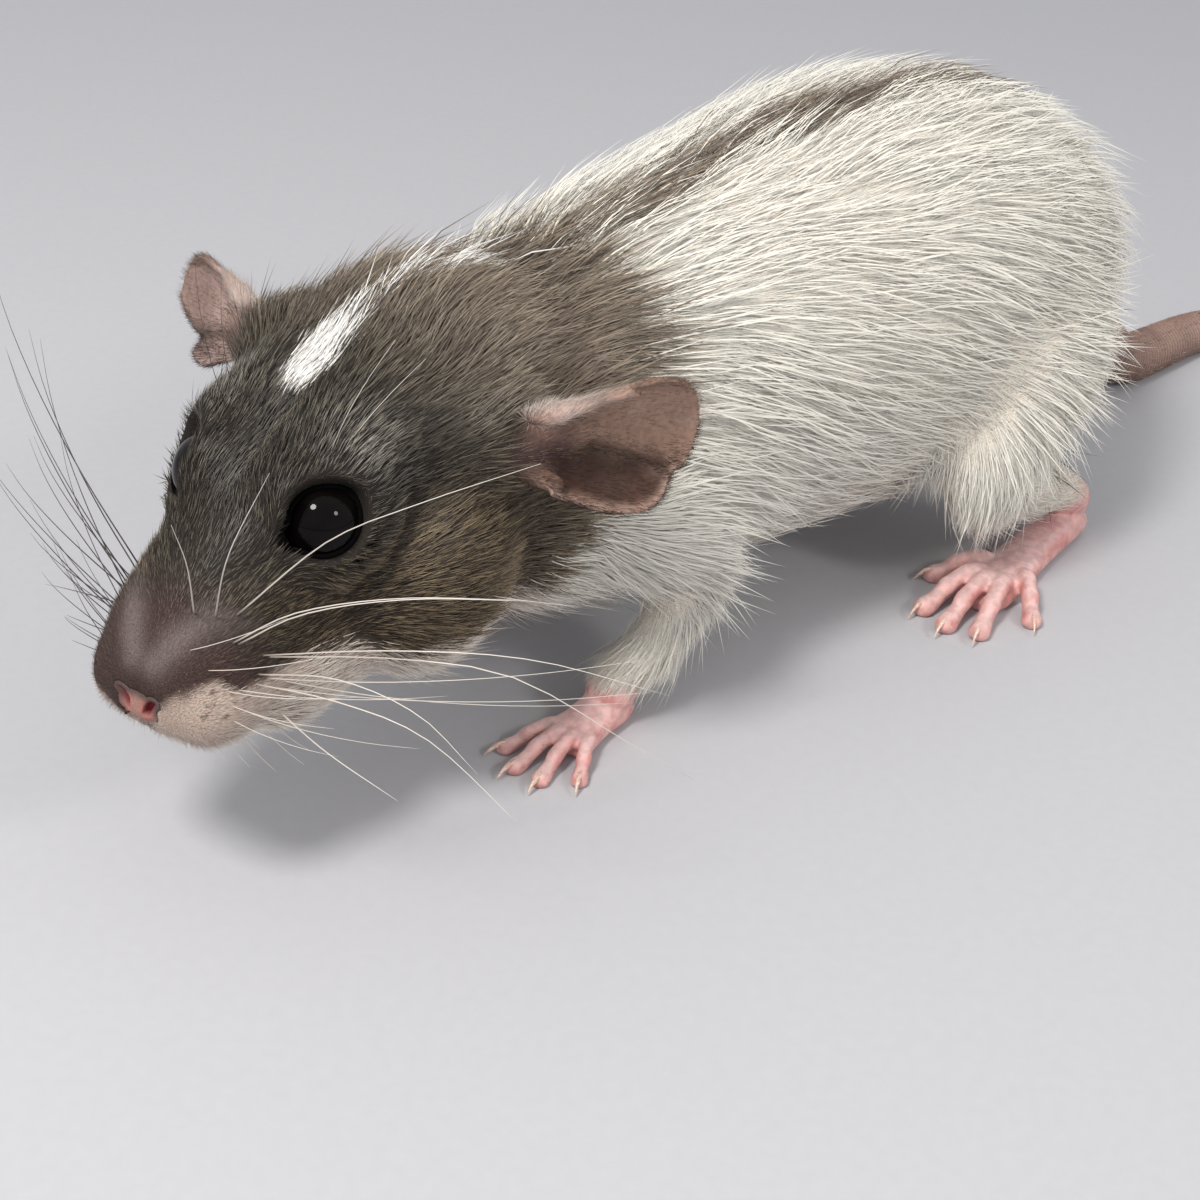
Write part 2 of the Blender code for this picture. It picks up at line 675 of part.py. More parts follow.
def ear_sheet(side):
    """An ear as a cupped sheet in its own frame: x across, y from root to tip, z the way that it opens."""
    bm = bmesh.new()
    bmesh.ops.create_grid(bm, x_segments=EAR_COLUMNS, y_segments=EAR_ROWS, size=1.0)
    full, loss = EAR_CUP_FADE
    for vert in bm.verts:
        across, along = vert.co.x, 1 - (0.5 - vert.co.y / 2) ** EAR_CROWDING
        if along > EAR_WIDEST:
            past = (along - EAR_WIDEST) / (1 - EAR_WIDEST)
            outline = math.sqrt(max(1 - past**2, EAR_TIP**2))
            cupping = outline**2
        else:
            outline = EAR_BASE + (1 - EAR_BASE) * math.sin(math.pi / 2 * along / EAR_WIDEST)
            cupping = 1.0
        lean = EAR_LEANS[side] * along ** EAR_LEAN_POWERS[side]
        bend = EAR_CUP * across**2 * cupping * (full + loss * along) + lean
        reach = EAR_START + along * EAR_LENGTHS[side]
        vert.co = Vector((across * EAR_WIDTH / 2 * outline, reach, bend)) * MM
    bmesh.ops.recalc_face_normals(bm, faces=bm.faces)
    bmesh.ops.solidify(bm, geom=list(bm.faces), thickness=EAR_THICKNESS * MM)
    face_outward(bm)
    return bm


def make_ears(head, looks):
    """Each ear on its root, cut clear of the head that carries it."""
    for side, word in ((1, "left"), (-1, "right")):
        bm = ear_sheet(side)
        stem = bmesh.new()
        rows = [(0, along, EAR_STEM_DEPTH, wide, thick, thick) for along, wide, thick in EAR_STEM]
        loft(stem, rows, Vector((0, 0, 1)), EAR_STEM_SIDES)
        along = Vector(EAR_AXES[side]).normalized()
        face = Vector(EAR_FACES[side])
        face = (face - along * face.dot(along)).normalized()
        across = along.cross(face)
        frame = Matrix((across, along, face)).transposed().to_4x4()
        place = Matrix.Translation(Vector(EAR_ROOT) * MM) @ frame
        flip = Matrix.Diagonal((1, side, 1, 1))
        for shape in (bm, stem):
            shape.transform(head_matrix() @ flip @ place)
            face_outward(shape)
        ear = fuse(f"ear_{word}", [link("ear", bm), link("ear_stem", stem)], looks["ear_skin"])
        swollen = copy_of(head, "swollen")
        swell = swollen.modifiers.new("swell", "DISPLACE")
        swell.strength = GAP
        swell.mid_level = 0.0
        apply_modifiers(swollen)
        boolean(ear, swollen, "DIFFERENCE")
        keep_largest(ear)


def toe_shape(name, start, heading, length, radius):
    """One toe from its knuckle to its pad, arched a little."""
    ahead = Vector((math.cos(heading), math.sin(heading), 0))
    rows = []
    for share, lift, thick in TOE_PROFILE:
        point = Vector((*start, 0)) + ahead * (length * share)
        size = radius * thick
        rows.append((point.x, point.y, radius * (1 + lift) - SOLE_FLAT, size, size, size))
    bm = bmesh.new()
    loft(bm, rows, Vector((0, 0, 1)), TOE_SIDES)
    return link(name, bm)


def claw_shape(name, start, heading, length, radius):
    """A curved claw, from inside the toe's end to a point just above the floor."""
    ahead = Vector((math.cos(heading), math.sin(heading), 0))
    rows = []
    for share, thick in CLAW_PROFILE:
        point = Vector((*start, 0)) + ahead * (length + CLAW_LENGTH * share)
        height = radius * CLAW_ROOT + (CLAW_TIP - radius * CLAW_ROOT) * max(share, 0) ** 2
        size = CLAW_RADIUS * thick
        rows.append((point.x, point.y, height, size * CLAW_NARROW, size, size))
    bm = bmesh.new()
    loft(bm, rows, Vector((0, 0, 1)), CLAW_SIDES)
    return link(name, bm)


def make_foot(name, plan, toes, side, step, shank, split, looks):
    """Sole, toes and claws of one foot with the end of its limb, on the floor."""
    ankle_x, ankle_y = plan["ankle"]
    ankle_x += step
    ankle_y *= side
    turn = math.radians(plan["turn"]) * side
    ahead = Vector((math.cos(turn), math.sin(turn), 0))
    left = Vector((-ahead.y, ahead.x, 0))
    heel, ball = plan["heel"], plan["ball"]
    rows = []
    for start, share, wide, tall in SOLE_PROFILE:
        half_width = (heel + (ball - heel) * min(share, 1.0)) * wide
        half_height = plan["height"] * tall / 2
        point = Vector((ankle_x, ankle_y, 0)) + ahead * (start + plan["sole"] * share)
        rows.append((point.x, point.y, half_height - SOLE_FLAT, half_width, half_height, half_height))
    bm = bmesh.new()
    loft(bm, spline(rows, SOLE_STEPS), Vector((0, 0, 1)), FOOT_SIDES, SOLE_SQUARENESS)
    shapes = [link("sole", bm)]
    for i, (along, across, heading, length, radius) in enumerate(toes):
        start = Vector((ankle_x, ankle_y, 0)) + ahead * along + left * (across * side)
        angle = turn + math.radians(heading) * side
        shapes.append(toe_shape(f"toe_{i}", start.xy, angle, length, radius))
        shapes.append(claw_shape(f"claw_{i}", start.xy, angle, length, radius))
    bm = bmesh.new()
    loft(bm, shank[::2], Vector((1, 0, 0)), FOOT_SIDES)
    shapes.append(link("limb_end", bm))
    foot = fuse(name, shapes, looks["pink_skin"])
    cut_by_plane(foot, (0, 0, split), (0, 0, 1), gap=GAP)
    cut_by_plane(foot, (0, 0, 0), (0, 0, -1))
    keep_largest(foot)


def make_feet(looks):
    """The four feet, each with the last stretch of its limb."""
    for side, word in ((1, "left"), (-1, "right")):
        fore_step, hind_step = steps_of(side)
        shank = limb_rows(FORE_LIMB, side, fore_step)[-2 * LIMB_STEPS - 1 :]
        make_foot(f"front_{word}_foot", FORE_FOOT, FORE_TOES, side, fore_step, shank, SPLIT_FORE, looks)
        shank = limb_rows(HIND_LIMB, side, hind_step)[-2 * LIMB_STEPS - 1 :]
        make_foot(f"hind_{word}_foot", HIND_FOOT, HIND_TOES, side, hind_step, shank, SPLIT_HIND, looks)


def tail_rows():
    """The tail's line: down to the floor, a little further back, then round to the left."""
    rows = []
    x, y, z = TAIL_ROOT
    heading = math.pi
    step = TAIL_LENGTH / (TAIL_POINTS - 1)
    for i in range(TAIL_POINTS):
        gone = i * step
        radius = TAIL_RADII[0] + (TAIL_RADII[1] - TAIL_RADII[0]) * (gone / TAIL_LENGTH) ** TAIL_TAPER
        floor_height = radius - TAIL_FLAT
        share = min(gone / TAIL_DROP, 1.0)
        height = z + (floor_height - z) * (share * share * (3 - 2 * share))
        rows.append((x, y, height, radius, radius, radius))
        turned = min(max(gone - TAIL_DROP - TAIL_STRAIGHT, 0.0) / TAIL_BEND_RADIUS, math.radians(TAIL_BEND))
        heading = math.pi - turned
        x += math.cos(heading) * step
        y += math.sin(heading) * step
    return rows


def make_tail(looks):
    """The tail in a few lengths that meet face to face."""
    rows = tail_rows()
    share = len(rows) // len(TAIL_PARTS)
    for i, name in enumerate(TAIL_PARTS):
        first = i * share
        last = (i + 1) * share if i + 1 < len(TAIL_PARTS) else len(rows) - 1
        bm = bmesh.new()
        loft(bm, rows[max(first - 1, 0) : last + 2], Vector((0, 0, 1)), TAIL_SIDES)
        piece = link(name, bm, looks["tail_skin"])
        if i + 1 < len(TAIL_PARTS):
            ahead = np.subtract(rows[last + 1][:3], rows[last - 1][:3])
            cut_by_plane(piece, rows[last][:3], ahead, gap=GAP / 2)
        if i == 0:
            cut_by_plane(piece, *reversed_plane(RUMP_CUT), gap=GAP)
        else:
            ahead = np.subtract(rows[first + 1][:3], rows[first - 1][:3])
            cut_by_plane(piece, rows[first][:3], -ahead, gap=GAP / 2)
        cut_by_plane(piece, (0, 0, 0), (0, 0, -1))


def centre_on_floor():
    """Moves everything so that the origin is under the middle of the whole, on the floor."""
    shown = [obj for obj in bpy.data.objects if obj.type == "MESH"]
    points = np.array([tuple(vert.co) for obj in shown for vert in obj.data.vertices])
    low, high = points.min(axis=0), points.max(axis=0)
    shift = Matrix.Translation((-(low[0] + high[0]) / 2, -(low[1] + high[1]) / 2, -low[2]))
    for obj in shown:
        obj.data.transform(shift)


def main():
    for obj in list(bpy.data.objects):
        bpy.data.objects.remove(obj, do_unlink=True)
    looks = {name: material(name, colour, roughness) for name, (colour, roughness) in FINISHES.items()}
    body = whole_body()
    head, neck, torso = make_trunk_and_head(body, looks)
    drop(body)
    detail_head(head, looks)
    make_ears(head, looks)
    make_feet(looks)
    make_tail(looks)
    centre_on_floor()


main()
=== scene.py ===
"""Looks of a life-size still model of a young pet rat, with its floor, light and camera.

Metres, +Z up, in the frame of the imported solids. The sizes in the classes are millimetres. Three frames are
used: the world, the rat's own frame, which the world's differs from by a shift, and the head's frame, with
its origin at the tip of the nose, x forward and y to the rat's left.
"""

from __future__ import annotations

import json
import logging
import math
from dataclasses import dataclass, field
from enum import Enum
from typing import Any, Iterable, Sequence

import bmesh
import bpy
import numpy as np
from mathutils import Matrix, Vector
from mathutils.bvhtree import BVHTree
from mathutils.kdtree import KDTree

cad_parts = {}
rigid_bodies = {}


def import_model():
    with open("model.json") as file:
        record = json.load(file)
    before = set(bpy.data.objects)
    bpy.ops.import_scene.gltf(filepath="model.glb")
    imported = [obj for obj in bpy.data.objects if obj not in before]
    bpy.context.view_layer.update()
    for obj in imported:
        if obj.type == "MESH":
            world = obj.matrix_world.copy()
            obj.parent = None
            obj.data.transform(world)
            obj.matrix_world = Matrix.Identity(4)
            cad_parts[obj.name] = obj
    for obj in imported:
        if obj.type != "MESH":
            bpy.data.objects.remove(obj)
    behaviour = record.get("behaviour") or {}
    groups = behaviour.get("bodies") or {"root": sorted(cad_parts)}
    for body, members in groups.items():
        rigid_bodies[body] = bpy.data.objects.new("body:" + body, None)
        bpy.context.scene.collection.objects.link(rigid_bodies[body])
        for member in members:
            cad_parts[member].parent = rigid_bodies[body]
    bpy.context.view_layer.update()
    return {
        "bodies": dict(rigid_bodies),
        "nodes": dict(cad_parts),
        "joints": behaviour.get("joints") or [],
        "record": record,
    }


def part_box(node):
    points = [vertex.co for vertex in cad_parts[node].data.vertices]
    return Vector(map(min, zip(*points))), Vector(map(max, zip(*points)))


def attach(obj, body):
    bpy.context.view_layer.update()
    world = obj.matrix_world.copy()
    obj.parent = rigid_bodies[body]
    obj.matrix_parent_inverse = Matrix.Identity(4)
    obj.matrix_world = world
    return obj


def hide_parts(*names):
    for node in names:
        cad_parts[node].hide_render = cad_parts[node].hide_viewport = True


LOG = logging.getLogger("rat")
MM = 0.001
BODY = "root"
COLOUR_LAYER = "pelt"
BARE_LAYER = "bare"
BAKE_MAP = "OFBake"
BAKE_PATCH = 0.003  # size of one hair's place on that map
LEG_NODES = ("front_left_leg", "front_right_leg", "hind_left_leg", "hind_right_leg")
FLESH_NODES = ("head", "neck", "torso", *LEG_NODES)
FOOT_NODES = ("front_left_foot", "front_right_foot", "hind_left_foot", "hind_right_foot")
TAIL_NODES = ("tail_base", "tail_middle", "tail_tip")
Array = np.ndarray


class Side(Enum):
    """The two sides of the animal, by the sign of y in its own frame."""

    LEFT = 1
    RIGHT = -1

    @property
    def word(self) -> str:
        """The side as it stands in the names of pieces."""
        return self.name.lower()


def linear(code: str) -> Array:
    """A colour written as #rrggbb, in the linear values that shaders take."""
    parts = np.array([int(code[i : i + 2], 16) for i in (1, 3, 5)]) / 255
    return np.where(parts <= 0.04045, parts / 12.92, ((parts + 0.055) / 1.055) ** 2.4)


def rgba(code: str) -> tuple[float, float, float, float]:
    """The same with an alpha of one."""
    return (*map(float, linear(code)), 1.0)


def ease(low: float, high: float, values: Array) -> Array:
    """A smooth step from 0 at `low` to 1 at `high`, which may be the smaller."""
    share = np.clip((np.asarray(values) - low) / (high - low), 0.0, 1.0)
    return share * share * (3 - 2 * share)


def bell(values: Array, width: float) -> Array:
    """A bump of height 1 round 0."""
    return np.exp(-((np.asarray(values) / width) ** 2))


def blend(a: Array, b: Array, share: Array) -> Array:
    """Colours or directions from a to b by a share for each row."""
    return a + (b - a) * np.asarray(share)[..., None]


def between(a: Array, b: Array, share: Array) -> Array:
    """Numbers from a to b by a share for each."""
    return a + (b - a) * share


def mirrored(points: Array) -> Array:
    """Points of the head's frame with those of its right side laid over to the left."""
    return points * (1, 0, 1) + np.abs(points) * (0, 1, 0)


def unit(rows: Array) -> Array:
    """Rows scaled to length one."""
    return rows / np.maximum(np.linalg.norm(rows, axis=-1, keepdims=True), 1e-12)


def carry(matrix: Matrix, rows: Array) -> Array:
    """Rows of points through a 4x4 matrix."""
    m = np.array(matrix)
    return rows @ m[:3, :3].T + m[:3, 3]


def turn_rows(matrix: Matrix, rows: Array) -> Array:
    """Rows of directions through the turning part of a matrix."""
    return rows @ np.array(matrix)[:3, :3].T


def spline(rows: Sequence[Sequence[float]], steps: int) -> Array:
    """A smooth curve through the rows, with `steps` rows for each span between them."""
    rows = np.asarray(rows, float)
    ends = np.vstack([2 * rows[0] - rows[1], rows, 2 * rows[-1] - rows[-2]])
    made = []
    for i in range(len(rows) - 1):
        a, b, c, d = ends[i : i + 4]
        for t in np.arange(steps) / steps:
            curve = 2 * b + (c - a) * t + (2 * a - 5 * b + 4 * c - d) * t**2 + (3 * b - a - 3 * c + d) * t**3
            made.append(0.5 * curve)
    made.append(rows[-1])
    return np.array(made)


class Cloudiness:
    """Smooth random values through space, from a lattice that repeats."""

    CELLS = 32

    def __init__(self, seed: int) -> None:
        """A lattice of its own for each seed."""
        self.lattice = np.random.default_rng(seed).random((self.CELLS,) * 3) * 2 - 1

    def at(self, points: Array, size: float) -> Array:
        """Values from -1 to 1 at points, in clouds about `size` across."""
        place = points / size
        low = np.floor(place).astype(int)
        part = place - low
        part = part * part * (3 - 2 * part)
        total = np.zeros(len(points))
        for corner in np.ndindex(2, 2, 2):
            i, j, k = ((low + corner) % self.CELLS).T
            weight = np.prod(np.where(corner, part, 1 - part), axis=1)
            total += weight * self.lattice[i, j, k]
        return total


@dataclass
class Layout:
    """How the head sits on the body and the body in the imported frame."""

    neck_joint: tuple = (-44.0, 0.0, 2.0)
    head_seat: tuple = (45.5, 0.0, 37.5)
    pitch: float = 15.0
    yaw: float = 12.0
    roll: float = -4.0
    eye_centre: tuple = (-19.8, 7.6, 10.0)
    to_world: Matrix = field(init=False)
    head_to_world: Matrix = field(init=False)

    def __post_init__(self) -> None:
        """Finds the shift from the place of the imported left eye."""
        turn = (
            Matrix.Rotation(math.radians(self.yaw), 4, "Z")
            @ Matrix.Rotation(math.radians(self.pitch), 4, "Y")
            @ Matrix.Rotation(math.radians(self.roll), 4, "X")
        )
        joint = Matrix.Translation(-Vector(self.neck_joint))
        seat = Matrix.Translation(Vector(self.head_seat)) @ turn @ joint
        low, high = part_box(f"eye_{Side.LEFT.word}")
        shift = (low + high) / 2 - seat @ Vector(self.eye_centre) * MM
        scale = Matrix.Scale(MM, 4)
        self.to_world = Matrix.Translation((shift.x, shift.y, 0.0)) @ scale
        self.head_to_world = self.to_world @ seat

    def in_head(self, points: Array) -> Array:
        """World points in the head's frame, in millimetres."""
        return carry(self.head_to_world.inverted(), points)

    def in_body(self, points: Array) -> Array:
        """World points in the rat's frame, in millimetres."""
        return carry(self.to_world.inverted(), points)

    def head_direction(self, direction: Sequence[float]) -> Array:
        """A direction of the head's frame in the world."""
        turned = self.head_to_world.to_3x3() @ Vector(direction)
        return np.array(turned.normalized())


@dataclass
class Limb:
    """One limb as a line of stations: x, y, z, half width, reach forward, reach back."""

    rows: tuple
    side: Side
    step: float

    def line(self) -> Array:
        """The smooth line of stations on this side, in the rat's frame."""
        made = []
        for i, (x, y, z, *sizes) in enumerate(self.rows):
            share = i / (len(self.rows) - 1)
            made.append((x + self.step * share, y * self.side.value, z, *sizes))
        return spline(made, 5)

    def reach(self, points: Array) -> tuple[Array, Array, Array]:
        """How points lie along the limb.

        Args:
            points: places in the rat's frame, in millimetres.

        Returns:
            The distance from the limb's line as a share of its thickness, the place along it from 0 at its
            top to 1, and the direction down the limb.
        """
        rows = self.line()
        best = np.full(len(points), np.inf)
        place = np.zeros(len(points))
        heading = np.zeros((len(points), 3))
        for i, (start, end) in enumerate(zip(rows, rows[1:])):
            run = end[:3] - start[:3]
            share = np.clip((points - start[:3]) @ run / (run @ run), 0, 1)
            off = np.linalg.norm(points - start[:3] - share[:, None] * run, axis=1)
            thick = between(start[3:6].mean(), end[3:6].mean(), share)
            ratio = off / thick
            nearer = ratio < best
            best[nearer] = ratio[nearer]
            place[nearer] = (i + share[nearer]) / (len(rows) - 1)
            heading[nearer] = run / np.linalg.norm(run)
        return best, place, heading


FORE_LIMB = (
    (33, 11.5, 36, 6.5, 9, 9),
    (27, 14.5, 27, 6.8, 8.5, 8.5),
    (19, 16.2, 19, 5.8, 6.2, 6.2),
    (20.5, 16.0, 12, 4.2, 4.4, 4.4),
    (26, 15.0, 6.6, 3.0, 2.9, 2.9),
    (28.5, 14.6, 3.8, 2.9, 2.6, 2.6),
    (29.5, 14.6, 1.8, 1.5, 1.4, 1.4),
)
HIND_LIMB = (
    (-47, 12, 42, 9.0, 14, 14),
    (-40, 18.6, 32, 10.0, 17, 15),
    (-34, 21.6, 24, 8.6, 14, 12),
    (-30, 23.2, 17, 6.3, 8.5, 8.5),
    (-39.5, 23.2, 12.4, 4.4, 5.0, 5.0),
    (-48.5, 23.0, 9.2, 3.4, 3.6, 3.6),
    (-53.5, 22.8, 5.6, 2.9, 2.8, 2.8),
    (-53.0, 22.8, 2.4, 2.0, 1.8, 1.8),
)
FORE_STEP = 7.0  # the right fore foot stands this much behind the left
HIND_STEP = 9.0  # and the right hind foot this much ahead of the left


def four_limbs() -> list[Limb]:
    """The four limbs: fore left, fore right, hind left, hind right."""
    return [
        Limb(FORE_LIMB, Side.LEFT, 0.0),
        Limb(FORE_LIMB, Side.RIGHT, -FORE_STEP),
        Limb(HIND_LIMB, Side.LEFT, 0.0),
        Limb(HIND_LIMB, Side.RIGHT, HIND_STEP),
    ]


@dataclass
class Places:
    """Everything that the coat and the markings need to know of a set of points."""

    world: Array
    normal: Array
    head: Array
    body: Array
    behind: Array  # 0 on the head, 1 behind it
    limb: Array  # 1 on a limb, 0 elsewhere
    along: Array  # from the top of the nearest limb to its foot
    heading: Array  # down that limb
    nearest: Array  # which limb
    foot: Array  # 1 on the feet
    lid: Array  # distance from the edge of the nearer eye's lids

    @classmethod
    def of(cls, face: "Face", limbs: Sequence[Limb], world: Array, normal: Array) -> "Places":
        """Measures the points once.

        Args:
            face: the eyes and the frames.
            limbs: the four limbs.
            world: the points, in metres.
            normal: the skin's normal at each.

        Returns:
            The measured places.
        """
        head, body = face.layout.in_head(world), face.layout.in_body(world)
        found = [limb.reach(body) for limb in limbs]
        ratios = np.stack([each[0] for each in found])
        nearest = ratios.argmin(axis=0)
        rows = np.arange(len(world))
        ratio = ratios[nearest, rows]
        along = np.stack([each[1] for each in found])[nearest, rows]
        heading = np.stack([each[2] for each in found])[nearest, rows]
        behind = np.maximum(ease(44.0, 60.0, -head[:, 0]), ease(-17.0, -21.0, head[:, 2]))
        limb = ease(1.9, 1.15, ratio) * behind * ease(0.12, 0.4, along)
        low = np.where(nearest < 2, ease(6.6, 5.2, body[:, 2]), ease(8.2, 6.8, body[:, 2]))
        heel = limb * ease(0.7, 0.86, along) * ease(11.0, 8.0, body[:, 2]) * (nearest > 1)
        foot = np.maximum(low, heel)
        lid = np.minimum(*(face.lid_gap(side, head) for side in Side))
        return cls(world, normal, head, body, behind, limb, along, heading, nearest, foot, lid)


class Board:
    """The nodes of one material."""

    def __init__(self, name: str) -> None:
        """A new material with a Principled shader."""
        self.material = bpy.data.materials.new(name)
        self.material.use_nodes = True
        self.tree = self.material.node_tree
        self.shader = self.tree.nodes["Principled BSDF"]
        self.output = self.tree.nodes["Material Output"]

    def node(self, kind: str, settings: dict[str, Any] | None = None, sockets: dict[Any, Any] | None = None):
        """Any node.

        Args:
            kind: the type's name without its prefix ShaderNode.
            settings: what is set on the node itself, with "stops" for a ramp's positions and colours.
            sockets: values or links by the socket's name or number.

        Returns:
            The node.
        """
        made = self.tree.nodes.new("ShaderNode" + kind)
        for name, value in (settings or {}).items():
            if name == "stops":
                ramp = made.color_ramp
                while len(ramp.elements) < len(value):
                    ramp.elements.new(0.5)
                for element, (place, colour) in zip(ramp.elements, value):
                    element.position = place
                    element.color = colour
            else:
                setattr(made, name, value)
        for name, value in (sockets or {}).items():
            self.feed(made.inputs[name], value)
        return made

    def feed(self, socket: bpy.types.NodeSocket, value: Any) -> None:
        """Sets or links one socket."""
        if isinstance(value, Value):
            value = value.socket
        if isinstance(value, bpy.types.NodeSocket):
            self.tree.links.new(value, socket)
        else:
            socket.default_value = value

    def finish(self, shader: bpy.types.Node | None = None, **sockets: Any) -> None:
        """Sets the shader's sockets, whose names are written with _ for a space."""
        shader = shader or self.shader
        for name, value in sockets.items():
            self.feed(shader.inputs[name.replace("_", " ")], value)

    def place(self) -> bpy.types.NodeSocket:
        """Object coordinates."""
        return self.node("TexCoord").outputs["Object"]

    def layer(self, name: str) -> bpy.types.Node:
        """A colour or value that the mesh carries."""
        return self.node("Attribute", {"attribute_name": name})

    def cloud(self, size: float, detail: float = 2.0, stretch: Sequence[float] = (1, 1, 1)) -> "Value":
        """A noise whose blotches are `size` millimetres across, drawn out by `stretch`."""
        scale = tuple(1 / (size * MM * each) for each in stretch)
        where = self.node("Mapping", {}, {"Vector": self.place(), "Scale": scale})
        noise = self.node("TexNoise", {}, {"Vector": where.outputs[0], "Scale": 1.0, "Detail": detail})
        return Value(self, noise.outputs[0])

    def mix(self, share: Any, a: Any, b: Any, how: str = "MIX") -> bpy.types.NodeSocket:
        """Two colours mixed."""
        node = self.node("Mix", {"data_type": "RGBA", "blend_type": how}, {0: share, 6: a, 7: b})
        return node.outputs[2]

    def shaded(self, colour: bpy.types.NodeSocket, tone: "Value") -> bpy.types.NodeSocket:
        """A colour made lighter and darker by a number."""
        grey = self.node("CombineColor", {}, {0: tone, 1: tone, 2: tone}).outputs[0]
        return self.mix(1.0, colour, grey, "MULTIPLY")

    def bump(self, height: "Value", strength: float, depth: float) -> bpy.types.NodeSocket:
        """A normal from a height, whose full range stands `depth` millimetres high."""
        node = self.node("Bump", {}, {"Strength": strength, "Distance": depth * MM, "Height": height})
        return node.outputs[0]


class Value:
    """A number in a material, on which arithmetic adds Math nodes."""

    def __init__(self, board: Board, socket: bpy.types.NodeSocket) -> None:
        """Wraps a socket of the board."""
        self.board = board
        self.socket = socket

    def maths(self, operation: str, *operands: Any) -> "Value":
        """One Math node on these operands."""
        node = self.board.node("Math", {"operation": operation}, dict(enumerate(operands)))
        return Value(self.board, node.outputs[0])

    def __add__(self, other: Any) -> "Value":
        """Sum."""
        return self.maths("ADD", self, other)

    __radd__ = __add__

    def __sub__(self, other: Any) -> "Value":
        """Difference."""
        return self.maths("SUBTRACT", self, other)

    def __rsub__(self, other: Any) -> "Value":
        """Difference, the other way round."""
        return self.maths("SUBTRACT", other, self)

    def __mul__(self, other: Any) -> "Value":
        """Product."""
        return self.maths("MULTIPLY", self, other)

    __rmul__ = __mul__

    def between(self, low: float, high: float, start: float = 0.0, end: float = 1.0) -> "Value":
        """A smooth change from `start` at `low` to `end` at `high`."""
        sockets = {"Value": self, "From Min": low, "From Max": high, "To Min": start, "To Max": end}
        node = self.board.node("MapRange", {"interpolation_type": "SMOOTHSTEP"}, sockets)
        return Value(self.board, node.outputs[0])


@dataclass(frozen=True)
class SkinFinish:
    """Skin under the coat, streaked like short fur, and bare skin on the feet."""

    fur_roughness: float = 0.85
    bare_roughness: float = 0.48
    streak: tuple = (2.2, 0.16, 0.16)  # millimetres along and across the lie
    wrinkle: float = 0.5
    under: float = 0.06  # how far light goes under the skin, as a weight

    def material(self) -> bpy.types.Material:
        """The material, which reads the mesh's colours and its bare patches."""
        board = Board("rat_skin")
        pelt = board.layer(COLOUR_LAYER).outputs["Color"]
        bare = Value(board, board.layer(BARE_LAYER).outputs["Fac"])
        streaks = board.cloud(1.0, 3.0, self.streak)
        shade = streaks.between(0.3, 0.7, 0.72, 1.18)
        board.finish(
            Base_Color=board.shaded(pelt, shade),
            Roughness=self.fur_roughness,
            Normal=board.bump(streaks, 0.8, 0.25),
            Specular_IOR_Level=0.2,
        )
        naked = board.node("BsdfPrincipled")
        creases = board.cloud(self.wrinkle, 4.0, (1.6, 0.7, 1.0))
        board.finish(
            naked,
            Base_Color=board.shaded(pelt, board.cloud(1.1).between(0.35, 0.65, 0.86, 1.08)),
            Roughness=self.bare_roughness,
            Normal=board.bump(creases, 0.5, 0.12),
            Subsurface_Weight=self.under * 3,
            Subsurface_Radius=(0.9 * MM, 0.35 * MM, 0.2 * MM),
            Subsurface_Scale=1.0,
        )
        both = board.node("MixShader", {}, {0: bare, 1: board.shader.outputs[0], 2: naked.outputs[0]})
        board.feed(board.output.inputs["Surface"], both.outputs[0])
        return board.material


@dataclass(frozen=True)
class CoatFinish:
    """Hair that carries its own colour from root to tip."""

    name: str
    roughness: float
    gloss: float
    sheen: float = 0.0

    def material(self) -> bpy.types.Material:
        """The material, which reads the tufts' colours."""
        board = Board(self.name)
        pelt = board.layer(COLOUR_LAYER).outputs["Color"]
        board.finish(
            Base_Color=pelt,
            Roughness=self.roughness,
            Specular_IOR_Level=self.gloss,
            Sheen_Weight=self.sheen,
        )
        return board.material


@dataclass(frozen=True)
class EyeFinish:
    """A wet, nearly black eye."""

    colour: str = "#060405"

    def material(self) -> bpy.types.Material:
        """The material, a little brown in the depth."""
        board = Board("wet_black_eye")
        depth = board.cloud(2.5, 1.0).between(0.4, 0.7)
        board.finish(
            Base_Color=board.mix(depth, rgba(self.colour), rgba("#0c0808")),
            Roughness=0.03,
            IOR=1.33,
            Specular_IOR_Level=0.22,
        )
        return board.material


@dataclass(frozen=True)
class MoistFinish:
    """Thin bare skin that carries its own colours: ears, nose pad, lids, tail."""

    name: str
    roughness: float
    grain: float  # size of its finest folds
    relief: float  # their depth
    under: float = 0.12
    stretch: tuple = (1, 1, 1)
    gloss: float = 0.5

    def material(self) -> bpy.types.Material:
        """The material, which reads the mesh's colours."""
        board = Board(self.name)
        pelt = board.layer(COLOUR_LAYER).outputs["Color"]
        grain = board.cloud(self.grain, 4.0, self.stretch)
        board.finish(
            Base_Color=board.shaded(pelt, grain.between(0.3, 0.7, 0.84, 1.12)),
            Roughness=self.roughness,
            Normal=board.bump(grain, 0.6, self.relief),
            Specular_IOR_Level=self.gloss,
            Subsurface_Weight=self.under,
            Subsurface_Radius=(0.8 * MM, 0.3 * MM, 0.18 * MM),
            Subsurface_Scale=1.0,
        )
        return board.material


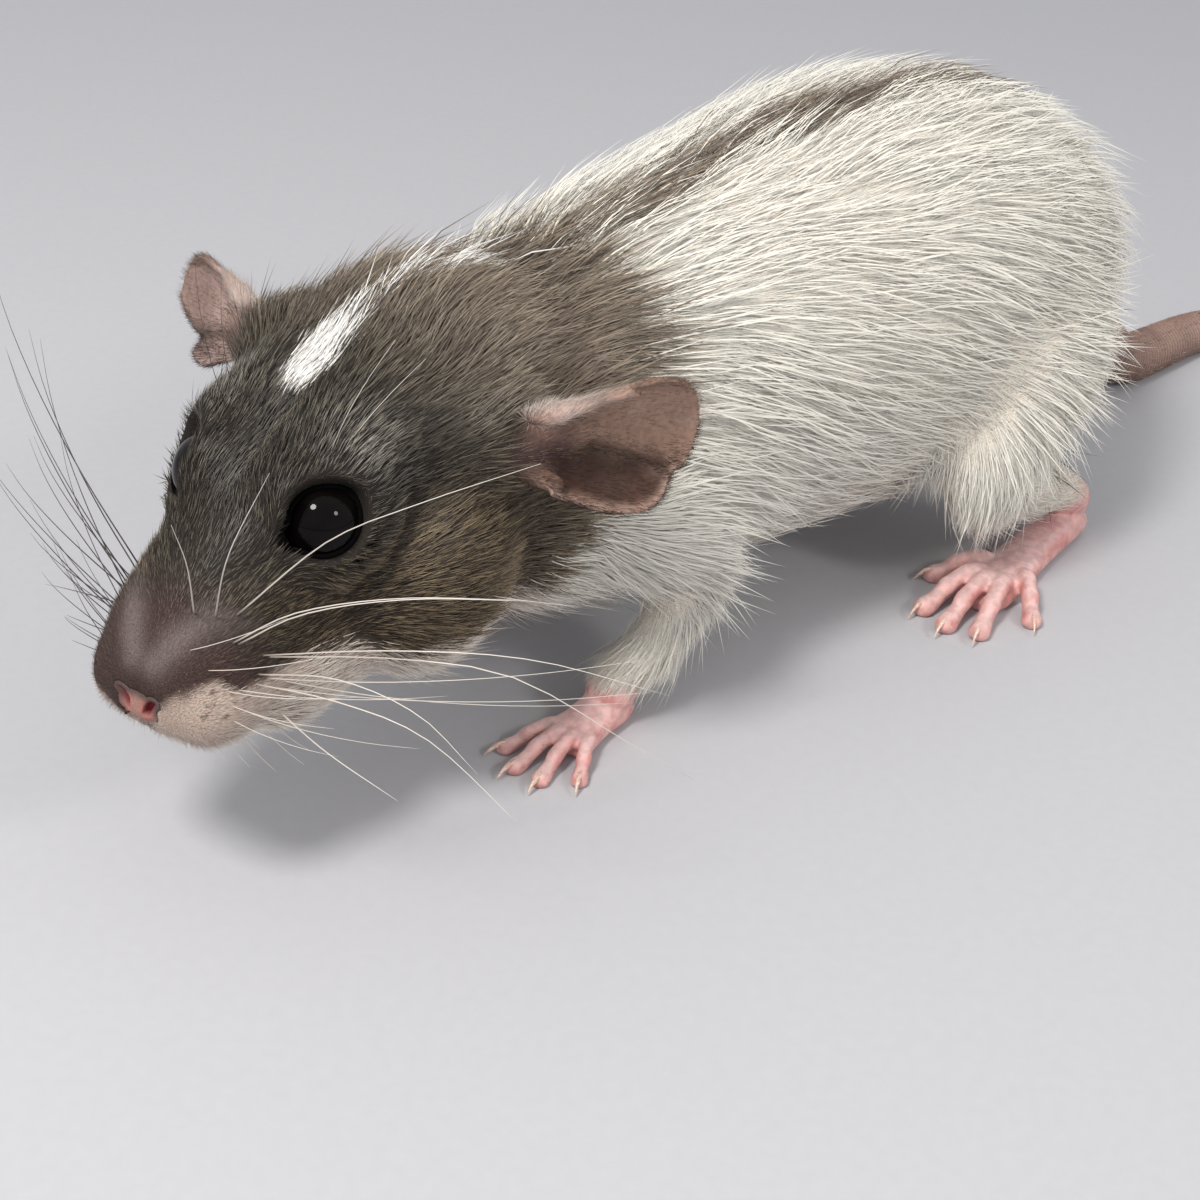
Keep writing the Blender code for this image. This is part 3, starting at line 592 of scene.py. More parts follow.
@dataclass(frozen=True)
class HornFinish:
    """Claws: pale, a little see-through horn."""

    pale: str = "#e6d2c4"
    dark: str = "#cfa696"

    def material(self) -> bpy.types.Material:
        """The material, streaked along the claw."""
        board = Board("claw_horn")
        streak = board.cloud(0.35, 3.0, (2.0, 0.6, 0.6))
        board.finish(
            Base_Color=board.mix(streak.between(0.35, 0.65), rgba(self.pale), rgba(self.dark)),
            Roughness=0.32,
            Subsurface_Weight=0.4,
            Subsurface_Radius=(0.5 * MM, 0.3 * MM, 0.2 * MM),
            Subsurface_Scale=1.0,
            Normal=board.bump(streak, 0.3, 0.04),
        )
        return board.material


def link(name: str, mesh: bpy.types.Mesh, finish: bpy.types.Material | None = None) -> bpy.types.Object:
    """A new object at the origin, smooth shaded."""
    made = bpy.data.objects.new(name, mesh)
    bpy.context.scene.collection.objects.link(made)
    if finish is not None:
        mesh.materials.clear()
        mesh.materials.append(finish)
    mesh.shade_smooth()
    return made


def mesh_of(bm: bmesh.types.BMesh, name: str) -> bpy.types.Mesh:
    """The bmesh as a mesh; the bmesh is freed."""
    mesh = bpy.data.meshes.new(name)
    bm.to_mesh(mesh)
    bm.free()
    return mesh


def add(bm: bmesh.types.BMesh, part: bmesh.types.BMesh) -> None:
    """Puts one bmesh into another; the part is freed."""
    mesh = mesh_of(part, "part")
    bm.from_mesh(mesh)
    bpy.data.meshes.remove(mesh)


def face_outward(bm: bmesh.types.BMesh) -> None:
    """Turns a closed surface right side out."""
    bmesh.ops.recalc_face_normals(bm, faces=bm.faces)
    if bm.calc_volume(signed=True) < 0:
        bmesh.ops.reverse_faces(bm, faces=bm.faces)


def ring(
    bm: bmesh.types.BMesh,
    centre: Vector,
    side: Vector,
    up: Vector,
    sizes: Sequence[float],
    squareness: float,
    sides: int,
) -> list:
    """A loop of edges round a centre.

    Args:
        bm: where it is made.
        centre: its middle.
        side: the way across.
        up: the way up.
        sizes: half width, height above and depth below.
        squareness: 2 for an ellipse, more for a squarer loop.
        sides: its points.

    Returns:
        Its edges.
    """
    half_width, above, below = sizes
    loop = bmesh.ops.create_circle(bm, segments=sides, radius=1.0)["verts"]
    for vert in loop:
        across, rise = vert.co.x, vert.co.y
        across = math.copysign(abs(across) ** (2 / squareness), across) * half_width
        rise = math.copysign(abs(rise) ** (2 / squareness), rise) * (above if rise > 0 else below)
        vert.co = centre + side * across + up * rise
    return list({edge for vert in loop for edge in vert.link_edges})


def loft(bm, rows: Array, upright: Sequence[float], sides: int, squareness: float = 2.0) -> None:
    """A closed tube through rows of x, y, z, half width, above and below."""
    points = [Vector(row[:3]) for row in rows]
    loops = []
    for i, row in enumerate(rows):
        along = (points[min(i + 1, len(rows) - 1)] - points[max(i - 1, 0)]).normalized()
        side = Vector(upright).cross(along).normalized()
        up = along.cross(side).normalized()
        loops.append(ring(bm, points[i], side, up, row[3:6], squareness, sides))
    for first, second in zip(loops, loops[1:]):
        bmesh.ops.bridge_loops(bm, edges=first + second)
    bmesh.ops.holes_fill(bm, edges=loops[0] + loops[-1], sides=0)


def ellipsoid(bm, centre: Sequence[float], radii: Sequence[float], counts: tuple = (24, 14)) -> None:
    """A closed ellipsoid."""
    place = Matrix.Translation(Vector(centre)) @ Matrix.Diagonal([*radii, 1.0])
    bmesh.ops.create_uvsphere(bm, u_segments=counts[0], v_segments=counts[1], radius=1.0, matrix=place)


def evaluated(obj: bpy.types.Object) -> bpy.types.Mesh:
    """The mesh that the object's modifiers make."""
    graph = bpy.context.evaluated_depsgraph_get()
    graph.update()
    return bpy.data.meshes.new_from_object(obj.evaluated_get(graph), depsgraph=graph)


def apply_all(obj: bpy.types.Object) -> None:
    """Replaces the object's mesh by what its modifiers make."""
    made = evaluated(obj)
    old = obj.data
    obj.modifiers.clear()
    obj.data = made
    bpy.data.meshes.remove(old)


def fused(obj: bpy.types.Object, voxel: float) -> None:
    """One closed surface over overlapping ones."""
    remesh = obj.modifiers.new("one_surface", "REMESH")
    remesh.mode = "VOXEL"
    remesh.voxel_size = voxel * MM
    apply_all(obj)


class Shape:
    """A mesh as arrays, for moving many points at once."""

    def __init__(self, obj: bpy.types.Object) -> None:
        """Reads the object's points and edges."""
        self.obj = obj
        mesh = obj.data
        self.points = np.empty(len(mesh.vertices) * 3)
        mesh.vertices.foreach_get("co", self.points)
        self.points = self.points.reshape(-1, 3)
        pairs = np.empty(len(mesh.edges) * 2, np.int32)
        mesh.edges.foreach_get("vertices", pairs)
        self.a, self.b = pairs.reshape(-1, 2).T

    def soften(self, passes: int, weight: Array) -> None:
        """Moves points towards their neighbours' mean, `weight` of the way in each pass."""
        size = len(self.points)
        count = np.bincount(self.a, minlength=size) + np.bincount(self.b, minlength=size)
        for _ in range(passes):
            to_a, to_b = (
                [np.bincount(end, self.points[other, k], size) for k in range(3)]
                for end, other in ((self.a, self.b), (self.b, self.a))
            )
            mean = (np.array(to_a) + to_b).T / np.maximum(count, 1)[:, None]
            self.points += (mean - self.points) * weight[:, None]

    def write(self) -> None:
        """Puts the points back."""
        self.obj.data.vertices.foreach_set("co", self.points.ravel())
        self.obj.data.update()

    def normals(self) -> Array:
        """Normals of the points as they are now."""
        self.write()
        found = np.empty(len(self.points) * 3)
        self.obj.data.vertex_normals.foreach_get("vector", found)
        return found.reshape(-1, 3)


def paint(mesh: bpy.types.Mesh, colours: Array, name: str = COLOUR_LAYER) -> None:
    """Stores a colour for each point."""
    layer = mesh.color_attributes.new(name, "FLOAT_COLOR", "POINT")
    full = np.ones((len(colours), 4), np.float32)
    full[:, :3] = colours
    layer.data.foreach_set("color", full.ravel())


def mark(mesh: bpy.types.Mesh, values: Array, name: str) -> None:
    """Stores a number for each point."""
    layer = mesh.attributes.new(name, "FLOAT", "POINT")
    layer.data.foreach_set("value", np.asarray(values, np.float32))


@dataclass(frozen=True)
class Palette:
    """Colours of the coat and of the skin under it."""

    agouti_root: str = "#231f1b"
    brow_middle: str = "#2e2a25"
    cheek_middle: str = "#40352a"
    nape_root: str = "#4a4037"
    nape_middle: str = "#75675a"
    brow_tip: str = "#867e6e"
    cheek_tip: str = "#a89475"
    nape_tip: str = "#b6a996"
    guard: str = "#14110f"
    agouti_skin: str = "#2e2823"
    mauve_root: str = "#3c2d29"
    mauve_tip: str = "#8d7a74"
    mauve_skin: str = "#443430"
    # painted sheen: the pale mauve-grey highlight along the upper edge of the whisker pads
    mauve_sheen: str = "#978a88"
    grizzle: str = "#c4bdb2"
    lip_root: str = "#b39e90"
    lip_tip: str = "#efe7dd"
    lip_skin: str = "#b5a093"
    blaze_root: str = "#e6e1d9"
    blaze_tip: str = "#fdfcf9"
    cream_root: str = "#efe9dc"
    cream_tip: str = "#f5f2e8"
    cream_skin: str = "#e6dccd"
    belly_root: str = "#cbb6a9"
    foot_skin: str = "#dba9a3"
    foot_red: str = "#bf6a66"
    foot_pale: str = "#e6ccca"
    # painted shade along the crease of the mouth
    mouth_line: str = "#5b3734"
    # pinkish skin of the cleft under the nose, darkened by painted shade
    lip_cleft: str = "#9a6a66"
    lid_skin: str = "#171412"
    # painted shade in the opening of the ear
    ear_pit: str = "#3a2529"


@dataclass
class Markings:
    """A dark ticked hood with a white blaze and whitish lip, and a cream body with traces of a stripe."""

    palette: Palette = Palette()
    noise: Cloudiness = field(default_factory=lambda: Cloudiness(11))
    hood_heights: tuple = (-18, -10, -5, 0, 6, 12, 18, 24)
    hood_ends: tuple = (43, 43.5, 46, 50, 57, 63, 69, 71)
    blaze_places: tuple = (25.0, 26.5, 30, 34, 38, 43, 47, 51, 54, 57)
    blaze_middles: tuple = (-2.0, -1.9, -2.2, -2.7, -3.0, -3.0, -2.6, -1.6, -0.6, 0)
    blaze_widths: tuple = (0.0, 1.1, 2.2, 1.9, 1.1, 1.0, 1.8, 2.0, 1.3, 0.0)
    blaze_strengths: tuple = (0.0, 1.0, 1.0, 1.0, 0.5, 0.4, 0.7, 0.9, 0.6, 0.0)
    lip_places: tuple = (-2, 0, 2, 3.5, 5.5, 9, 12, 15, 20, 30, 44)
    lip_heights: tuple = (-0.8, 0.9, 2.6, 2.9, 1.0, 0.3, -0.7, -1.9, -4.4, -9.5, -13.5)
    lip_lower: float = 2.6  # how much lower the white ends on the right of the nose
    # x and z of the dark dots on the whisker pad
    dots: tuple = ((-3.0, 2.0), (-2.2, 1.0), (-1.5, 0.2), (-4.5, 1.6), (-3.5, 0.5), (-2.7, -0.4), (-5.0, 0.2))
    dot_size: float = 0.2
    brow: tuple = ((-24.0, 8.5, 14.8), 3.8)  # middle and reach of the greyer hair over the eye
    # upper edge of the whisker pad, along which a pale sheen is painted
    ridge: tuple = ((-1.2, 1.2, 4.6), (-4.3, 3.4, 7.3), (-7.3, 5.4, 7.6), (-9.6, 7.2, 6.2))
    ridge_width: float = 1.5

    def hood(self, at: Places) -> Array:
        """1 on the dark hood, 0 behind it."""
        end = np.interp(at.head[:, 2], self.hood_heights, self.hood_ends)
        ragged = 2.2 * self.noise.at(at.head, 7.0) + 1.2 * self.noise.at(at.head, 2.5)
        return ease(end + 2.2, end - 2.2, -at.head[:, 0] + ragged)

    def blaze(self, at: Places) -> Array:
        """1 on the white streak down the forehead and crown."""
        back, across, up = -at.head[:, 0], at.head[:, 1], at.head[:, 2]
        middle = np.interp(back, self.blaze_places, self.blaze_middles)
        width = np.interp(back, self.blaze_places, self.blaze_widths)
        strength = np.interp(back, self.blaze_places, self.blaze_strengths)
        ragged = 0.9 * self.noise.at(at.head * (0.3, 1, 1), 0.9)
        return ease(0.9, -0.8, np.abs(across - middle) - width + ragged) * strength * ease(8, 10, up)

    def lip(self, at: Places) -> Array:
        """1 on the whitish lip, chin and throat."""
        back, up = -at.head[:, 0], at.head[:, 2]
        edge = np.interp(back, self.lip_places, self.lip_heights)
        edge = edge - self.lip_lower * ease(0.5, -1.5, at.head[:, 1]) * ease(9, 4, back)
        ragged = 0.5 * self.noise.at(at.head, 1.8)
        softness = np.interp(back, (8, 20), (0.5, 2.2))
        beside = np.maximum(ease(0.4, 2.2, at.head[:, 1]), ease(-0.8, -2.6, up))
        white = ease(1.0, -1.0, (up - edge + ragged) / softness) * np.maximum(beside, ease(5, 9, back))
        return white * (1 - at.behind)

    def muzzle(self, at: Places) -> Array:
        """1 on the mauve, nearly bare end of the muzzle."""
        back, up = -at.head[:, 0], at.head[:, 2]
        return ease(12.0, 5.0, back + 0.25 * up + 1.2 * self.noise.at(at.head, 3.0))

    def sheen(self, at: Places) -> Array:
        """1 along the upper edge of the whisker pads, where a pale sheen is painted on skin and hair."""
        off = distance_to(mirrored(at.head), spline(self.ridge, 4))
        return bell(off, self.ridge_width) * (1 - at.behind)

    def stripe(self, at: Places) -> Array:
        """1 on the patchy dark stripe down the back and the patch before the tail."""
        x, y = at.body[:, 0], at.body[:, 1]
        patchy = ease(-0.75, -0.35, self.noise.at(at.body * (1, 0.3, 0.3), 11.0))
        wander = 1.2 * self.noise.at(at.body * (1, 0, 0), 16.0)
        width = 3.1 + 1.3 * self.noise.at(at.body * (1, 0, 0), 7.0)
        line = ease(0.9, -0.9, np.abs(y - wander) - width + 0.9 * self.noise.at(at.body, 2.2))
        line = line * patchy * ease(0.2, 0.6, at.normal[:, 2])
        root = ease(-72.5, -77.5, x + 2 * self.noise.at(at.body, 3.0))
        return np.maximum(line, root) * at.behind * (1 - at.limb)

    def nape(self, at: Places) -> Array:
        """1 on the paler coat of crown and nape and on the stripe."""
        return np.maximum(ease(26.0, 50.0, 0.25 * at.head[:, 2] - at.head[:, 0] - 4), self.stripe(at))

    def freckle(self, at: Places) -> Array:
        """1 on the dark dots that the whiskers of the lip grow from."""
        total = np.zeros(len(at.head))
        for x, z in self.dots:
            off = np.hypot(at.head[:, 0] - x, at.head[:, 2] - z)
            total = np.maximum(total, ease(self.dot_size * 1.6, self.dot_size * 0.6, off))
        return total

    def belly(self, at: Places) -> Array:
        """1 where the thin fur shows pinkish skin: belly and the inner sides of the legs."""
        low = ease(0.0, -0.8, at.normal[:, 2]) * ease(30, 16, at.body[:, 2])
        shank = at.limb * ease(0.55, 0.8, at.along)
        return np.maximum(low, shank) * at.behind

    def skin(self, at: Places, bare: Array) -> Array:
        """Colour of the skin, or of the short fur that lies on it.

        Args:
            at: the places.
            bare: 1 on the bare feet.

        Returns:
            A linear colour for each.
        """
        p = self.palette
        colour = blend(linear(p.cream_skin), linear(p.belly_root), self.belly(at) * 0.8)
        colour = blend(colour, linear(p.agouti_skin), self.stripe(at) * 0.7)
        head = blend(linear(p.agouti_skin), linear(p.nape_root), self.nape(at))
        head = blend(head, linear(p.mauve_skin), self.muzzle(at))
        # painted sheen along the upper edge of the whisker pads
        head = blend(head, linear(p.mauve_sheen), self.sheen(at) * self.muzzle(at) * 0.5)
        head = blend(head, linear(p.lip_skin), self.lip(at))
        head = blend(head, linear(p.blaze_root), self.blaze(at))
        head = blend(head, linear(p.guard), self.freckle(at) * 0.8)
        colour = blend(colour, head, self.hood(at))
        redness = ease(-0.1, 0.5, self.noise.at(at.body, 1.6))
        foot = blend(linear(p.foot_skin), linear(p.foot_red), redness * 0.5)
        foot = blend(foot, linear(p.foot_pale), ease(0.5, 0.95, at.normal[:, 2]) * 0.5)
        return blend(colour, foot, bare)

    def tufts(self, at: Places, dice: Array) -> tuple[Array, Array, Array]:
        """Colours of tufts at their root, middle and tip.

        Args:
            at: where they grow.
            dice: four random numbers for each, from 0 to 1.

        Returns:
            Three arrays of linear colours.
        """
        p = self.palette
        root = blend(linear(p.cream_root), linear(p.belly_root), self.belly(at))
        tip = blend(linear(p.cream_tip), linear(p.cream_root), dice[:, 1] ** 2 * 0.7)
        middle = blend(root, tip, 0.6)

        back, cheek = -at.head[:, 0], ease(11.0, 4.0, at.head[:, 2])
        nape = self.nape(at)
        dark_root = blend(linear(p.agouti_root), linear(p.nape_root), nape)
        dark_middle = blend(linear(p.brow_middle), linear(p.cheek_middle), cheek)
        dark_middle = blend(dark_middle, linear(p.nape_middle), nape)
        ticked = blend(linear(p.brow_tip), linear(p.cheek_tip), cheek)
        ticked = blend(ticked, linear(p.nape_tip), nape) * (0.75 + 0.5 * dice[:, 1:2])
        plain = blend(linear(p.guard), dark_middle, np.maximum(dice[:, 1], nape * 0.8))
        often = np.interp(back, (6, 16, 28, 44), (0.3, 0.32, 0.45, 0.65)) + 0.12 * cheek
        brow = bell(np.linalg.norm(mirrored(at.head) - self.brow[0], axis=1), self.brow[1])
        often = often + 0.15 * self.noise.at(at.head, 4.0) + 0.4 * brow
        ticked = blend(ticked, linear(p.grizzle), brow * 0.85)
        often = often + 0.25 * cheek * ease(2.0, -5.0, at.head[:, 2])
        dark_tip = np.where((dice[:, 2] < often)[:, None], ticked, plain)

        mauve = self.muzzle(at)
        # the muzzle's hair tips, with the painted sheen along the upper edge of the whisker pads
        mauve_sheen = blend(linear(p.mauve_root), linear(p.mauve_tip), dice[:, 1] ** 1.5)
        mauve_sheen = blend(mauve_sheen, linear(p.mauve_sheen), self.sheen(at) * 0.8)
        dark_root = blend(dark_root, linear(p.mauve_root), mauve)
        dark_middle = blend(dark_middle, linear(p.mauve_root), mauve)
        dark_tip = blend(dark_tip, mauve_sheen, mauve)

        def laid(mask: Array, low: str, high: str, chance: Array) -> None:
            """Lets the tufts that the dice pick take another colour."""
            nonlocal dark_root, dark_middle, dark_tip
            picked = (chance < mask).astype(float)
            dark_root = blend(dark_root, linear(low), picked)
            dark_middle = blend(dark_middle, blend(linear(low), linear(high), 0.5), picked)
            dark_tip = blend(dark_tip, linear(high), picked)

        laid(self.lip(at), p.lip_root, p.lip_tip, dice[:, 3])
        laid(self.blaze(at), p.blaze_root, p.blaze_tip, dice[:, 3])
        laid(self.freckle(at), p.guard, p.guard, dice[:, 3])
        dark = np.maximum(self.hood(at), self.stripe(at) * 0.85)
        picked = (dice[:, 0] < dark).astype(float)
        shade = (1 + (0.05 + 0.12 * picked) * (dice[:, 1] * 2 - 1))[:, None]
        shade = shade * (1 - 0.45 * ease(1.0, 0.2, at.lid))[:, None]
        return (
            blend(root, dark_root, picked) * shade,
            blend(middle, dark_middle, picked) * shade,
            blend(tip, dark_tip, picked) * shade,
        )


@dataclass
class Face:
    """Places on the head that the skin, the coat and the pieces of the face share."""

    layout: Layout
    eye_radius: float = 3.95
    eye_shift: tuple = (0.2, -0.2, 0.5)  # from the middle of its solid
    eye_depth: float = 1.7  # and how much deeper than that the eyeball's middle sits
    eye_axis: tuple = (0.53, 0.60, 0.60)
    lid_cover: float = 4.1  # radius of the skin over the eyeball
    opening: tuple = (3.3, 3.1)  # half length and half height of the visible eye
    corner: tuple = (1.2, 21.0, 16.0)  # how far the inner corner reaches, where it is, how wide, in degrees
    rear_corner: tuple = (0.3, 185.0, 26.0)
    nose_centre: tuple = (-0.9, 0.0, -1.1)
    nose_radii: tuple = (2.2, 2.8, 2.3)
    nose_bare: tuple = (2.5, 0.45, 1.95)  # the naked part: half width, height of its middle, half height
    # y and z from the pad's middle, and half width, from a nostril's inner end to its outer one
    nostril: tuple = (
        (1.1, 0.5, 0.3),
        (1.25, 0.95, 0.38),
        (1.5, 1.4, 0.32),
        (1.8, 1.75, 0.2),
        (2.1, 1.85, 0.1),
    )
    nose_inside: tuple = (-3.6, 0.0, -1.3)
    concha: tuple = (-37.8, 16.2, 8.3)
    concha_radius: float = 2.3
    mouth_inside: tuple = (-12.5, 0.0)
    mouth_bearing: float = 104.0
    mouth_heights: tuple = (-7.3, -9.6)
    philtrum_heights: tuple = (-3.6, -7.5)

    def eye(self, side: Side) -> Array:
        """The centre of an eye in the head's frame."""
        inward = unit(np.array(self.eye_axis)) * self.eye_depth
        place = np.array(self.layout.eye_centre) + self.eye_shift - inward
        return place * (1, side.value, 1)

    def eye_frame(self, side: Side) -> tuple[Array, Array, Array]:
        """The eye's own directions: towards the nose, up along the lids, and out."""
        out = unit(np.array(self.eye_axis) * (1, side.value, 1))
        front = np.array((1.0, 0.0, -0.25))
        front = unit(front - out * (front @ out))
        return front, np.cross(front, out) * side.value, out

    def round_eye(self, side: Side, head: Array) -> tuple[Array, Array, Array]:
        """Points round an eye: distance from its axis, bearing round it, and height along it."""
        front, up, out = self.eye_frame(side)
        off = head - self.eye(side)
        x, y, z = off @ front, off @ up, off @ out
        return np.hypot(x, y), np.arctan2(y, x), z

    def lid_edge(self, bearing: Array) -> Array:
        """Distance of the lids' edge from the eye's axis at bearings round it."""
        long, high = self.opening
        tilt = bearing - math.radians(self.corner[1])
        edge = long * high / np.hypot(high * np.cos(tilt), long * np.sin(tilt))
        for reach, where, width in (self.corner, self.rear_corner):
            off = (np.degrees(bearing) - where + 180) % 360 - 180
            edge = edge + reach * bell(off, width)
        return edge

    def lid_gap(self, side: Side, head: Array) -> Array:
        """Distance of points outward from the lids' edge, seen along the eye's axis."""
        rho, bearing, height = self.round_eye(side, head)
        return np.where((height > -3) & (rho < 13), rho - self.lid_edge(bearing), 9.0)

    def line_points(self, tree: BVHTree, bearings: Array, heights: Array) -> Array:
        """Points on the skin, in the head's frame, at bearings and heights from a point in the mouth."""
        found = []
        for bearing, height in zip(bearings, heights):
            inside = Vector((*self.mouth_inside, height))
            outward = Vector((math.cos(bearing), math.sin(bearing), 0.0))
            hit = tree.ray_cast(inside + outward * 40, -outward)[0]
            found.append(hit)
        return np.array(found)

    def mouth(self, tree: BVHTree) -> Array:
        """The line of the mouth as points."""
        bearings = np.radians(np.linspace(-self.mouth_bearing, self.mouth_bearing, 49))
        middle, corner = self.mouth_heights
        heights = middle + (corner - middle) * (bearings / bearings[-1]) ** 2
        return self.line_points(tree, bearings, heights)

    def philtrum(self, tree: BVHTree) -> Array:
        """The cleft from the nose to the mouth as points."""
        heights = np.linspace(*self.philtrum_heights, 12)
        return self.line_points(tree, np.zeros(12), heights)

    def naked_nose(self, head: Array) -> Array:
        """1 on the part of the nose pad that no hair covers."""
        off = head - self.nose_centre
        bare = np.maximum(ease(1.15, 0.75, self.pad_share(off)), ease(0.8, 0.3, self.nostril_gap(off)))
        return bare * ease(-2.4, -1.4, off[:, 0])

    def pad_share(self, off: Array) -> Array:
        """How far out points from the pad's middle are, seen from in front: 1 at its naked part's edge."""
        wide, middle, high = self.nose_bare
        return np.hypot(off[:, 1] / wide, (off[:, 2] - middle) / high)

    def nostril_gap(self, off: Array) -> Array:
        """Distance from the nearer nostril's edge, seen from in front, of points from the pad's middle."""
        side = np.abs(off[:, 1])
        gaps = [np.hypot(side - y, off[:, 2] - z) - wide for y, z, wide in spline(self.nostril, 6)]
        return np.min(gaps, axis=0)

    def in_concha(self, head: Array) -> Array:
        """How far points are from the middle of the nearer ear's opening, as a share of its radius."""
        return np.linalg.norm(mirrored(head) - self.concha, axis=1) / self.concha_radius

    def lid_height(self, edge: Array) -> Array:
        """Height of the lids' edge over the eye's middle, along its axis."""
        return np.sqrt(np.maximum(self.lid_cover**2 - edge**2, 1.0))


def distance_to(points: Array, line: Array) -> Array:
    """Distance of each point from a line of points."""
    best = np.full(len(points), np.inf)
    for start, end in zip(line, line[1:]):
        run = end - start
        share = np.clip((points - start) @ run / max(run @ run, 1e-12), 0, 1)
        best = np.minimum(best, np.linalg.norm(points - start - share[:, None] * run, axis=1))
    return best


@dataclass
class Eyes:
    """Glossy eyeballs and the bare rims of the lids round them."""

    BALL = (56, 32)  # steps round and up the eyeball
    RIM = (96, 10)  # steps along and round the rim

    face: Face
    finish: EyeFinish = EyeFinish()
    rim: MoistFinish = MoistFinish("lid_rim_skin", 0.8, 0.3, 0.03, 0.0, gloss=0.0)
    rim_sizes: tuple = (0.3, 0.24)  # half width across the rim, and along the eye
    rim_colour: str = "#0a0909"
    corner_colour: str = "#100b0b"

    def build(self) -> list[bpy.types.Object]:
        """Both eyes and both rims."""
        return [piece for side in Side for piece in (self.ball(side), self.lids(side))]

    def ball(self, side: Side) -> bpy.types.Object:
        """One eyeball, which stands for its solid."""
        bm = bmesh.new()
        around, upward = self.BALL
        bmesh.ops.create_uvsphere(bm, u_segments=around, v_segments=upward, radius=self.face.eye_radius)
        front, up, out = self.face.eye_frame(side)
        frame = Matrix([front, up, out]).transposed().to_4x4()
        bm.transform(self.face.layout.head_to_world @ Matrix.Translation(self.face.eye(side)) @ frame)
        face_outward(bm)
        made = link(f"eyeball_{side.word}", mesh_of(bm, "eyeball"), self.finish.material())
        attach(made, BODY)
        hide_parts(f"eye_{side.word}")
        return made

    def lids(self, side: Side) -> bpy.types.Object:
        """The rim of the lids: a closed band that follows the almond of the opening."""
        front, up, out = self.face.eye_frame(side)
        centre = self.face.eye(side)
        steps, sides = self.RIM
        width, thick = self.rim_sizes
        bm = bmesh.new()
        loops = []
        for bearing in np.arange(steps) / steps * math.tau:
            edge = float(self.face.lid_edge(np.array([bearing]))[0])
            away = front * math.cos(bearing) + up * math.sin(bearing)
            reach = edge + width * 0.3
            height = float(self.face.lid_height(np.array([edge]))[0]) - thick * 0.5
            place = centre + away * reach + out * height
            tilt = unit(away * reach + out * height)
            along = unit(np.cross(tilt, np.cross(away, out)))
            thin = 1.0 - 0.25 * bell(math.degrees(bearing) - self.face.corner[1], 30)
            sizes = (width * thin, thick, thick)
            loops.append(ring(bm, Vector(place), Vector(along), Vector(tilt), sizes, 2.0, sides))
        for first, second in zip(loops, loops[1:] + loops[:1]):
            bmesh.ops.bridge_loops(bm, edges=first + second)
        face_outward(bm)
        bm.transform(self.face.layout.head_to_world)
        made = link(f"lid_rim_{side.word}", mesh_of(bm, "lid_rim"), self.rim.material())
        points = self.face.layout.in_head(Shape(made).points)
        _, bearing, _ = self.face.round_eye(side, points)
        inner = bell((np.degrees(bearing) - self.face.corner[1] + 180) % 360 - 180, 22)
        paint(made.data, blend(linear(self.rim_colour), linear(self.corner_colour), inner))
        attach(made, BODY)
        return made


